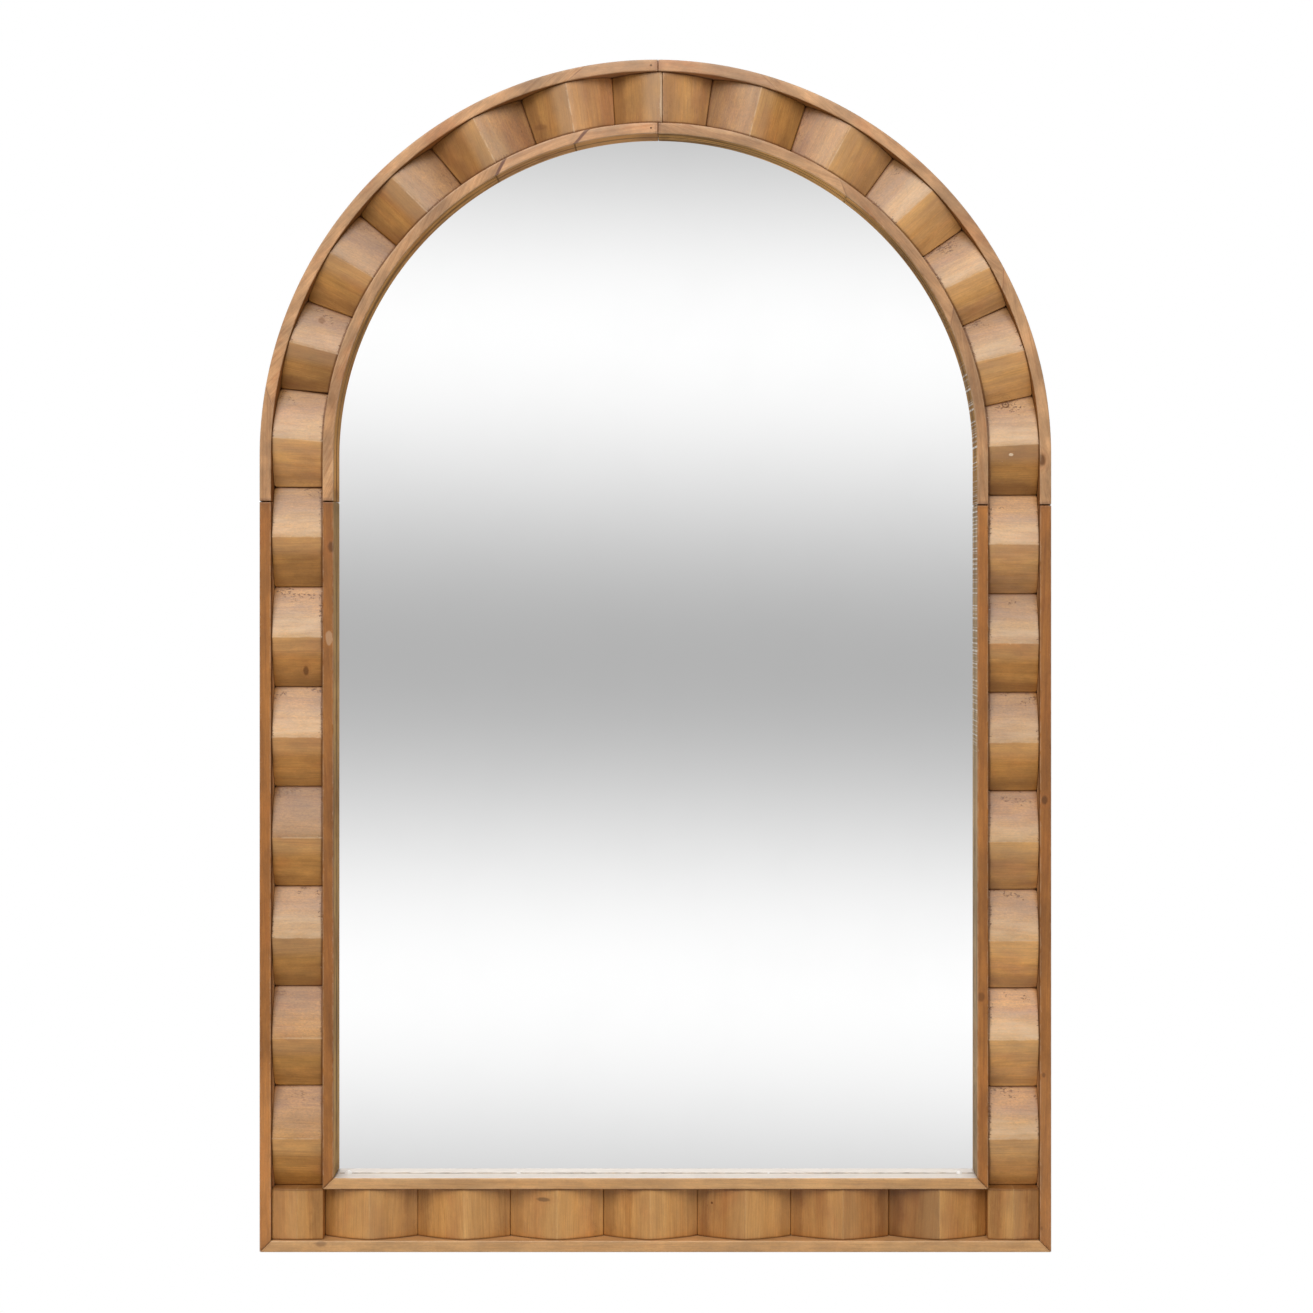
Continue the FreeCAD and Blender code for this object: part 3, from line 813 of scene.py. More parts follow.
@dataclass(frozen=True)
class MetalFinish(Finish):
    """Plated steel with rolling lines and dull spots."""

    plating: Plating
    tarnish: float = 0.72

    def paint(self, graph: Graph) -> dict[str, Value]:
        """Paint the plating, darker and duller in its spots."""
        colour, rough, dull = self.plating.value
        rolled = ROLLED.put(graph, at=graph.place())
        dark = tuple(part * self.tarnish for part in colour)
        return {
            "Base Color": graph.blend(rolled.spots.fade(0.4, 0.75), colour, dark),
            "Metallic": 1.0,
            "Roughness": rolled.spots.fade(0.3, 0.75, rough, rough + dull),
            "Normal": graph.bump(rolled.lines, 0.00003, 0.5),
        }


@dataclass(frozen=True)
class RubberFinish(Finish):
    """Milky soft rubber with a little lint."""

    milk: Colour = (0.62, 0.61, 0.57)
    lint: Colour = (0.42, 0.40, 0.37)

    def paint(self, graph: Graph) -> dict[str, Value]:
        """Paint the rubber, with lint where it has caught."""
        pressed = PRESSED.put(graph, at=graph.place())
        return {
            "Base Color": graph.blend(pressed.fleck * 0.6, self.milk, self.lint),
            "Roughness": pressed.mat.fade(0.3, 0.7, 0.32, 0.5),
            "Normal": graph.bump(pressed.mat, 0.00006, 0.5),
        }


@dataclass(frozen=True)
class GlueFinish(Finish):
    """Set glue, pale in its lumps and brown where dirt has caught in the thin of it."""

    pale: Colour = (0.82, 0.80, 0.77)
    brown: Colour = (0.26, 0.20, 0.14)

    def paint(self, graph: Graph) -> dict[str, Value]:
        """Paint the thin glue and the lumps."""
        lump, _, _ = graph.split(graph.attribute("lump"))
        patch = graph.cloud(graph.place(), (90.0, 300.0, 90.0), 3.0, 0.65)
        thin = graph.made(
            "ShaderNodeVectorMath", {0: self.brown, "Scale": patch.fade(0.35, 0.7, 0.75, 1.9)}, operation="SCALE",
        )
        return {
            "Base Color": graph.blend(lump.fade(0.1, 0.4), thin, self.pale),
            "Roughness": patch.fade(0.3, 0.7, 0.3, 0.5),
            "Normal": graph.bump(patch, 0.0002, 0.6),
        }


@dataclass(frozen=True)
class FloorFinish(Finish):
    """A pale floor that fades to white away from the mirror, for the camera."""

    pale: Colour = (0.80, 0.80, 0.80)
    paler: Colour = (0.84, 0.84, 0.84)
    fading: Point = (0.55, 1.3)

    def paint(self, graph: Graph) -> dict[str, Value]:
        """Paint the floor a little uneven."""
        at = graph.made("ShaderNodeNewGeometry", {}, "Position")
        speckle = graph.cloud(at, (30.0, 30.0, 30.0), 3.0, 0.6)
        return {
            "Base Color": graph.blend(speckle.fade(0.3, 0.7), self.pale, self.paler),
            "Roughness": 0.85,
            "Specular IOR Level": 0.2,
        }

    def surface(self, graph: Graph, shader: Signal) -> Signal:
        """Turn the floor white where it is far from the mirror."""
        at = graph.made("ShaderNodeNewGeometry", {}, "Position")
        away = graph.length(graph.vector("MULTIPLY", at, (1.0, 1.0, 0.0))).fade(*self.fading)
        share = away * graph.made("ShaderNodeLightPath", {}, "Is Camera Ray")
        return graph.made("ShaderNodeMixShader", {0: share, 1: shader, 2: graph.made("ShaderNodeEmission", {})})


class Tone(Enum):
    """Timber tones of the pieces: lightness, redness, a pale veil of dust and painted sheen, the strength of painted
    shade, grime and highlight, and raggedness.
    """

    HONEY = (1.00, 0.10, 0.00, 0.85, 0.15)
    STRAW = (1.08, 0.04, 0.12, 0.60, 0.15)
    WHEAT = (1.22, 0.00, 0.14, 0.55, 0.20)
    AMBER = (0.94, 0.22, 0.00, 0.85, 0.15)
    TOFFEE = (0.85, 0.18, 0.00, 0.90, 0.15)
    RUSSET = (0.86, 0.50, 0.00, 0.90, 0.20)
    ROSE = (1.04, 0.45, 0.12, 0.40, 0.20)
    UMBER = (0.74, 0.25, 0.00, 1.00, 0.20)
    PEAT = (0.64, 0.42, 0.00, 1.00, 0.20)
    BRAN = (0.95, 0.12, 0.12, 0.60, 0.20)
    # The pale tones below are those of the upward flanks; their third number paints the overhead lamp's sheen on them.
    CHALK = (0.86, 0.05, 0.21, 0.12, 0.90)
    PEARL = (0.98, 0.03, 0.26, 0.10, 1.00)
    SHELL = (0.78, 0.20, 0.16, 0.12, 0.90)
    IVORY = (1.12, 0.04, 0.30, 0.05, 0.90)
    MILK = (1.34, 0.00, 0.38, 0.05, 0.90)
    ASH = (0.72, 0.02, 0.24, 0.12, 0.90)
    BLUSH = (0.92, 0.30, 0.09, 0.30, 0.55)
    DUSK = (0.71, 0.36, 0.08, 0.30, 0.55)


def toned(names: str) -> tuple[tuple[Tone, ...], ...]:
    """Read tones by their names, in groups with commas between."""
    return tuple(tuple(Tone[name.upper()] for name in group.split()) for group in names.split(","))


# ---------------- courses round the frame


class Course:
    """A way round part of the frame, with a run along it and an inset in from the outside.

    This one lies along the foot from left to right, where they are the x and the z.
    """

    step: float = 0.0005

    def at(self, run: float, inset: float) -> Point:
        """Give the x and z of a place on the course."""
        return run, inset

    def inset(self, x: float, z: float) -> float:
        """Give how far in from the outside a point lies."""
        return z

    def run(self, x: float, z: float) -> float:
        """Give how far along the course a point lies."""
        return x

    def stretch(self, run: float, inset: float) -> float:
        """Give the true length of a unit of run at an inset."""
        return math.dist(self.at(run + self.step, inset), self.at(run - self.step, inset)) / (2 * self.step)


class ArchCourse(Course):
    """Up the left leg and over the left half of the arch. The run is 0 at the spring."""

    def at(self, run: float, inset: float) -> Point:
        """Give the x and z of a place on the leg or, past the spring, on the arch.

        Args:
            run: how far along the course it lies.
            inset: how far in from the outside it lies.

        Returns:
            The x and z.
        """
        radius = SIZES.half - inset
        if run <= 0:
            return -radius, SIZES.spring + run
        turn = run / SIZES.mid_radius
        return -radius * math.cos(turn), SIZES.spring + radius * math.sin(turn)

    def inset(self, x: float, z: float) -> float:
        """Measure in from the leg's outside or, past the spring, towards the arch's centre."""
        return SIZES.half - math.hypot(x, z - SIZES.spring) if z > SIZES.spring else SIZES.half + x

    def run(self, x: float, z: float) -> float:
        """Measure up from the spring, and past it round the middle of the channel."""
        rise = z - SIZES.spring
        return math.atan2(rise, -x) * SIZES.mid_radius if rise > 0 else rise


ARCH = ArchCourse()
FOOT = Course()


@dataclass(frozen=True)
class CrossLine:
    """A straight line over the channel, such as a ridge or a joint between blocks."""

    x: float
    z: float
    lie: float
    reach: float = 0.05
    halvings: int = 40

    @property
    def along(self) -> Vector:
        """The way the line points, outwards, as x and z."""
        turn = math.radians(self.lie)
        return Vector((-math.cos(turn), math.sin(turn)))

    @property
    def across(self) -> Vector:
        """The way over the line, towards the apex."""
        way = self.along
        return Vector((way.y, -way.x))

    def moved(self, shift: float) -> "CrossLine":
        """Give the line moved sideways, towards the apex."""
        over = self.across
        return CrossLine(self.x + over.x * shift, self.z + over.y * shift, self.lie)

    def apart(self, x: float, z: float) -> Vector:
        """Give how far a point lies along the line, and how far past it."""
        away = Vector((x, z)) - Vector((self.x, self.z))
        return Vector((away.dot(self.along), away.dot(self.across)))

    def farthest(self, other: "CrossLine") -> float:
        """Give how far from this line the farther end of another lies."""
        tips = (Vector((other.x, other.z)) + other.along * (end * SIZES.channel / 2) for end in (-1, 1))
        return max(abs(self.apart(*tip).y) for tip in tips)

    def meet(self, course: Course, inset: float) -> float:
        """Find where the line crosses an inset.

        Args:
            course: the course that the line lies over.
            inset: the inset to meet.

        Returns:
            The run at which they meet.
        """
        low, high = -self.reach, self.reach
        way = self.along
        for _ in range(self.halvings):
            middle = (low + high) / 2
            if course.inset(self.x + way.x * middle, self.z + way.y * middle) > inset:
                low = middle
            else:
                high = middle
        return course.run(self.x + way.x * low, self.z + way.y * low)


# ---------------- meshes


def linked(name: str, data: bpy.types.ID) -> Object:
    """Make an object and link it to the scene."""
    made = bpy.data.objects.new(name, data)
    bpy.context.scene.collection.objects.link(made)
    return made


def smooth_piece(
    name: str, corners: Sequence[Sequence[float]], faces: Sequence[Sequence[int]], sharp: Optional[float] = None,
) -> Object:
    """Make an object with a smooth mesh.

    Args:
        name: the object's name.
        corners: the mesh's corners.
        faces: its faces, by the numbers of their corners.
        sharp: edges that turn more than this, in degrees, stay crisp.

    Returns:
        The object, linked to the scene.
    """
    mesh = bpy.data.meshes.new(name)
    mesh.from_pydata([tuple(corner) for corner in corners], [], [tuple(face) for face in faces])
    mesh.polygons.foreach_set("use_smooth", [True] * len(mesh.polygons))
    if sharp is not None:
        mesh.set_sharp_from_angle(angle=math.radians(sharp))
    return linked(name, mesh)


def carry(piece: Object, label: str, domain: str, values: Sequence[float]) -> None:
    """Give a mesh a vector that the finishes read, as one flat list."""
    layer = piece.data.attributes.new(label, "FLOAT_VECTOR", domain)
    layer.data.foreach_set("vector", values)


def woven(rows: int, across: int, first: int = 0, ends: bool = False, sides: bool = True) -> list[tuple[int, ...]]:
    """Weave quads between rows of corners that are numbered in order.

    Args:
        rows: how many rows there are.
        across: how many corners each row has.
        first: the number of the first corner.
        ends: whether the last row joins the first.
        sides: whether each row joins its own start.

    Returns:
        The faces.
    """
    faces = []
    for row in range(rows if ends else rows - 1):
        low, high = first + row * across, first + (row + 1) % rows * across
        for side in range(across if sides else across - 1):
            after = (side + 1) % across
            faces.append((low + side, low + after, high + after, high + side))
    return faces


def arc(centre: Point, radii: Point, start: float, end: float, steps: int) -> list[Point]:
    """List the points of an arc.

    Args:
        centre: the arc's centre.
        radii: its radius along each axis.
        start: where it starts, in degrees.
        end: where it ends.
        steps: how many steps it is drawn in.

    Returns:
        The points, with both ends.
    """
    turns = [math.radians(start + (end - start) * step / steps) for step in range(steps + 1)]
    return [(centre[0] + radii[0] * math.cos(turn), centre[1] + radii[1] * math.sin(turn)) for turn in turns]


def held(value: float) -> float:
    """Keep a number between 0 and 1."""
    return max(0.0, min(1.0, value))


class Mark(Enum):
    """Kinds of mark in the timber, by the number that the finishes know them by."""

    KNOT = 0.0
    EYE = 0.5
    CHIP = 1.0


@dataclass(frozen=True)
class Knot:
    """A knot or other mark in the timber: its place, half width and half height, strength and kind."""

    x: float
    z: float
    wide: float
    tall: float
    strength: float = 1.0
    mark: Mark = Mark.KNOT
    reach: float = 6.0
    fading: float = 2.0

    def read(self, corner: Vector) -> Triple:
        """Read the knot from a corner.

        Args:
            corner: the corner's place.

        Returns:
            Its x and z in the knot's own measure, and how much the knot tells there.
        """
        across, up = corner.x - self.x, corner.z - self.z
        spread = Vector((across, up)).length / max(self.wide, self.tall)
        return across / self.wide, up / self.tall, held((self.reach - spread) / self.fading) * self.strength


@dataclass
class MeshPlan:
    """A mesh as it is drawn up: its corners, faces, and the vectors that the finishes read."""

    corners: list[Vector] = field(default_factory=list)
    faces: list[tuple[int, ...]] = field(default_factory=list)
    grain: list[Vector] = field(default_factory=list)
    place: list[Vector] = field(default_factory=list)
    patches: list[int] = field(default_factory=list)
    finishes: list[int] = field(default_factory=list)

    def corner(self, at: Vector, grain: Vector, place: Vector) -> int:
        """Add a corner and give its number."""
        self.corners.append(at)
        self.grain.append(grain)
        self.place.append(place)
        return len(self.corners) - 1

    def face(self, *corners: int, patch: int = 0, finish: int = 0) -> None:
        """Add a face, which belongs to a patch of timber and takes one of the piece's finishes."""
        self.faces.append(corners)
        self.patches.append(patch)
        self.finishes.append(finish)

    def turned(self) -> None:
        """Turn every face to look the other way."""
        self.faces = [tuple(reversed(face)) for face in self.faces]

    def flipped(self) -> None:
        """Mirror the plan to the other side of the frame."""
        for corner in self.corners:
            corner.x = -corner.x
        self.turned()


@dataclass(frozen=True)
class Timber:
    """The piece of timber that a patch is cut from.

    It has a tone, the place of its pith, a turn of its grain, the tone of its farther half where that changes, and
    how much paler it is near the frame's foot.
    """

    tone: Tone
    pith: Point
    shift: Vector
    tilt: float = 0.0
    second: Optional[Tone] = None
    foot: float = 0.0
    foot_top: float = 0.20
    foot_fading: float = 0.06

    @staticmethod
    def picked(tone: Tone, dice: random.Random, second: Optional[Tone] = None, foot: float = 0.0) -> "Timber":
        """Pick timber of a tone from the stack.

        Args:
            tone: the tone to pick.
            dice: a seeded source of chance.
            second: the tone of the piece's farther half, where it changes.
            foot: how much paler the piece is near the frame's foot, as a share.

        Returns:
            The timber.
        """
        depth = dice.choice((dice.uniform(0.006, 0.03), dice.uniform(0.03, 0.09)))
        pith = (dice.uniform(-0.05, 0.05), -depth)
        shift = Vector((dice.uniform(-9, 9), dice.uniform(-9, 9), dice.uniform(-9, 9)))
        return Timber(tone, pith, shift, dice.uniform(-0.05, 0.05), second, foot)

    @property
    def start(self) -> Vector:
        """Where the piece's grain is read from."""
        return self.shift * 0.37

    def paleness(self, z: float) -> float:
        """Give how much paler the timber is at a height, as a share."""
        return self.foot * held((self.foot_top - z) / self.foot_fading)


FAR_KNOT = (9.0, 9.0, 0.0)


def finish_mesh(
    name: str, plan: MeshPlan, timbers: Sequence[Timber], knots: Sequence[Knot], sharp: float = 38.0,
) -> Object:
    """Turn a plan into an object whose mesh carries the finishes' vectors.

    Args:
        name: the piece's name.
        plan: the drawn up mesh.
        timbers: the timber of each patch.
        knots: knots to set in it, by their place on the front.
        sharp: edges that turn more than this, in degrees, stay crisp.

    Returns:
        The new object, linked to the scene.
    """
    layers = {label: [] for label in ("grain", "place", "tone", "weather", "pith", "knot")}
    for face, patch, finish in zip(plan.faces, plan.patches, plan.finishes):
        timber = timbers[patch]
        farther = sum(plan.grain[index].y for index in face) > 0
        light, redness, dust_and_sheen, shading_and_grime, ragged = (timber.second if timber.second and farther else timber.tone).value
        for index in face:
            raw, corner = plan.grain[index], plan.corners[index]
            near, kind = FAR_KNOT, Mark.KNOT
            for knot in () if finish else knots:
                seen = knot.read(corner)
                if seen[2] > near[2]:
                    near, kind = seen, knot.mark
            paler = timber.paleness(corner.z)
            layers["grain"] += [*(Vector((raw.x, raw.y + raw.x * timber.tilt, raw.z)) + timber.start)]
            layers["place"] += [*plan.place[index]]
            layers["tone"] += [light * (1 + paler), redness, dust_and_sheen + paler * 0.2]
            layers["weather"] += [shading_and_grime, ragged, kind.value]
            layers["pith"] += [*(Vector((0.0, *timber.pith)) + timber.start)]
            layers["knot"] += [*near]
    made = smooth_piece(name, plan.corners, plan.faces, sharp)
    for label, values in layers.items():
        carry(made, label, "CORNER", values)
    made.data.polygons.foreach_set("material_index", plan.finishes)
    made.data.update()
    return made


def deliver(
    piece: Object, body: str, slot: str, nodes: Sequence[str], *finishes: Material,
) -> Object:
    """Dress a piece, hang it on its body, and let it stand for its solids.

    Args:
        piece: the finished object.
        body: the body that it rides on.
        slot: the record's material slot; it is not used.
        nodes: the solids that it replaces.
        finishes: its materials, in the order that its faces count them.

    Returns:
        The piece.
    """
    for finish in finishes:
        piece.data.materials.append(finish)
    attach(piece, body)
    if nodes:
        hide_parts(*nodes)
    LOG.info("%s: %d faces, rides on %s", piece.name, len(piece.data.polygons), body)
    return piece


def rounded(distance: float, radius: float) -> float:
    """Give how far a rounded edge has dropped at a distance in from it."""
    if distance >= radius:
        return 0.0
    return radius - math.sqrt(max(0.0, radius * radius - (radius - distance) ** 2))


def even(start: float, end: float, count: int) -> list[float]:
    """Give the stations that part a stretch into a count of even steps, without its ends."""
    return [start + (end - start) * index / count for index in range(1, count)]


def spaced(length: float, near: Sequence[float], far: Sequence[float], step: float = 0.0) -> list[float]:
    """Space stations along a length, close together at its ends.

    Args:
        length: the whole length.
        near: distances from the start at which stations are wanted.
        far: distances from the end at which stations are wanted.
        step: the spacing between, or 0 for ten even steps.

    Returns:
        The stations, from 0 to the length.
    """
    start, end = max(near), length - max(far)
    count = max(2, round((end - start) / step)) if step else 10
    return [*near, *even(start, end, count), *sorted(length - place for place in far)]


# ---------------- the block moulding

EDGE_STEPS = (0.0, 0.00012, 0.0003, 0.0006, 0.001, 0.0018)
CREST_STEPS = (0.0, 0.0004, 0.001)


@dataclass
class GableBlock:
    """One block sawn from the gable moulding between two joints.

    The waves of its hand-finished top are each a height, cycles per metre and a layer of noise. The crest and the
    corners are rubbed down by a depth within a reach.
    """

    name: str
    low: CrossLine
    ridge: CrossLine
    high: CrossLine
    timber: Timber
    mirrored: bool = False
    knots: tuple[Knot, ...] = ()
    edge: float = SIZES.valley
    peak: float = SIZES.ridge
    crown: float = SIZES.crown
    half_width: float = 0.0
    worn: float = 0.0006
    rounding: float = 0.0027
    rounded_share: float = 0.85
    lee: float = 0.16
    open_side: float = 0.0
    swell: Triple = (0.00022, 55.0, 3.1)
    ripple: Triple = (0.00005, 240.0, 7.7)
    crest_rub: Point = (0.00028, 0.0011)
    corner_rub: Point = (0.0009, 0.004)
    row_step: float = 0.0035
    course: ClassVar[Course] = ARCH

    def __post_init__(self) -> None:
        """Let the moulding reach to the farther joint where no half width is given."""
        self.half_width = self.half_width or max(map(self.ridge.farthest, (self.low, self.high)))

    def thickness(self, over: float) -> float:
        """Give the moulding's thickness, from the base up, at a distance from its ridge."""
        share = min(1.0, abs(over) / self.half_width)
        lean = math.cos(math.atan2(self.peak - self.edge, self.half_width))
        return self.peak + (self.edge - self.peak) * share + 4 * self.crown / lean * share * (1 - share)

    def wave(self, x: float, z: float, cycles: float, layer: float) -> float:
        """Give one of the block's waves at a place, from -1 to 1."""
        shift = self.timber.shift
        return noise.noise(Vector((x * cycles + shift.x, z * cycles + shift.y, layer)))

    def height(self, x: float, z: float, from_joint: float, from_rail: float) -> float:
        """Give how high the worn top stands over the base.

        Args:
            x: the place's x.
            z: its z.
            from_joint: its distance from the nearer joint.
            from_rail: its distance from the nearer rail.

        Returns:
            The height, no more than the rails leave room for.
        """
        over = abs(self.ridge.apart(x, z).y)
        swell, ripple = self.wave(x, z, *self.swell[1:]), self.wave(x, z, *self.ripple[1:])
        height = self.thickness(over) + self.swell[0] * swell + self.ripple[0] * ripple
        height -= self.crest_rub[0] * max(0.0, 1 - over / self.crest_rub[1]) ** 2
        worn = self.worn * (0.75 + 0.5 * swell)
        height -= rounded(from_joint, worn) + rounded(from_rail, worn * (1.1 + 0.6 * ripple))
        depth, reach = self.corner_rub
        height -= depth * max(0.0, 1 - from_joint / reach) * max(0.0, 1 - from_rail / reach) * (0.6 + swell)
        return min(height, SIZES.depth - SIZES.base)

    def row(self, inset: float) -> Triple:
        """Find a row's ends, drawn in where the block's corners are rubbed round.

        Args:
            inset: the row's inset.

        Returns:
            The runs of its two ends, and the true length of a unit of run.
        """
        ends = [self.low.moved(SIZES.gap / 2).meet(self.course, inset)]
        ends.append(self.high.moved(-SIZES.gap / 2).meet(self.course, inset))
        stretch = self.course.stretch(sum(ends) / 2, inset)
        from_rails = (inset - SIZES.outer_rail - SIZES.fit, SIZES.channel_in - SIZES.fit - inset)
        for which, way in enumerate((1, -1)):
            for number, away in enumerate(from_rails):
                chance = noise.noise(Vector((self.timber.shift.x * 7, which * 3.7 + 0.5, number * 5.1 + 0.3)))
                drawn = rounded(max(away, 0.0), self.rounding * (1.0 + 0.8 * chance)) * self.rounded_share
                ends[which] += way * drawn / stretch
        return ends[0], ends[1], stretch

    def columns(self, inset: float) -> list[Point]:
        """List the columns of a row, always as many of them.

        Args:
            inset: the row's inset.

        Returns:
            Each column's run and its distance from the nearer joint.
        """
        start, end, stretch = self.row(inset)
        crest = self.ridge.meet(self.course, inset)
        rise, fall = (crest - start) * stretch, (end - crest) * stretch
        up = [(start + at / stretch, at) for at in spaced(rise, EDGE_STEPS, CREST_STEPS)]
        down = [(crest + at / stretch, fall - at) for at in spaced(fall, CREST_STEPS, EDGE_STEPS)]
        return up + down[1:]

    def plan(self) -> MeshPlan:
        """Draw up the block: its worn top, its sawn sides and its underside.

        Returns:
            The plan.
        """
        plan = MeshPlan()
        foot_y = SIZES.back - SIZES.base
        depth = SIZES.channel - 2 * SIZES.fit
        rows = spaced(depth, EDGE_STEPS, EDGE_STEPS, self.row_step)
        for row in rows:
            inset = SIZES.outer_rail + SIZES.fit + row
            for run, from_joint in self.columns(inset):
                x, z = self.course.at(run, inset)
                along, over = self.ridge.apart(x, z)
                height = self.height(x, z, from_joint, min(row, depth - row))
                sunk = SIZES.depth - SIZES.base - height
                # painted shade and shadow: the distance from the inner rail shrinks where the block lies deeper, so the
                # dark band beside that rail widens there; the dark line beside the outer rail, dirt and painted shadow
                # of the gap, narrows where the block lies deeper
                rail_side = min(row + self.open_side * sunk, max(depth - row - self.lee * sunk, 0.0))
                place = Vector((from_joint, rail_side, abs(over)))
                plan.corner(Vector((x, foot_y - height, z)), Vector((along, over, height)), place)
        across = len(plan.corners) // len(rows)
        far = len(plan.corners) - across
        for quad in woven(len(rows), across, sides=False):
            plan.face(*quad)
        rim = [*range(across - 1), *range(across - 1, far + across - 1, across)]
        rim += [*range(far + across - 1, far, -1), *range(far, 0, -across)]
        base = []
        for index in rim:
            corner, grain = plan.corners[index], plan.grain[index]
            base.append(plan.corner(Vector((corner.x, foot_y, corner.z)), Vector((*grain.xy, 0.0)), plan.place[index]))
        for index in range(len(rim)):
            beyond = (index + 1) % len(rim)
            plan.face(rim[index], base[index], base[beyond], rim[beyond])
        plan.face(*reversed(base))
        if self.mirrored:
            plan.flipped()
        return plan

    def build(self, material: Material) -> Object:
        """Make the block and deliver it in place of its solid."""
        piece = finish_mesh("worn_" + self.name, self.plan(), [self.timber], self.knots)
        return deliver(piece, "frame", "block_wood", [self.name], material)


class FootBlock(GableBlock):
    """A block of the foot, whose rows climb with z and whose faces turn the other way."""

    course: ClassVar[Course] = FOOT

    def plan(self) -> MeshPlan:
        """Draw up the block with its faces turned outwards."""
        plan = super().plan()
        plan.turned()
        return plan


class ApexEndBlock(GableBlock):
    """The short block right of the apex seam, which has one flank and no crest of its own."""

    def columns(self, inset: float) -> list[Point]:
        """List the columns of the one flank."""
        start, end, stretch = self.row(inset)
        length = (end - start) * stretch
        return [(start + at / stretch, min(at, length - at)) for at in spaced(length, EDGE_STEPS, EDGE_STEPS)]


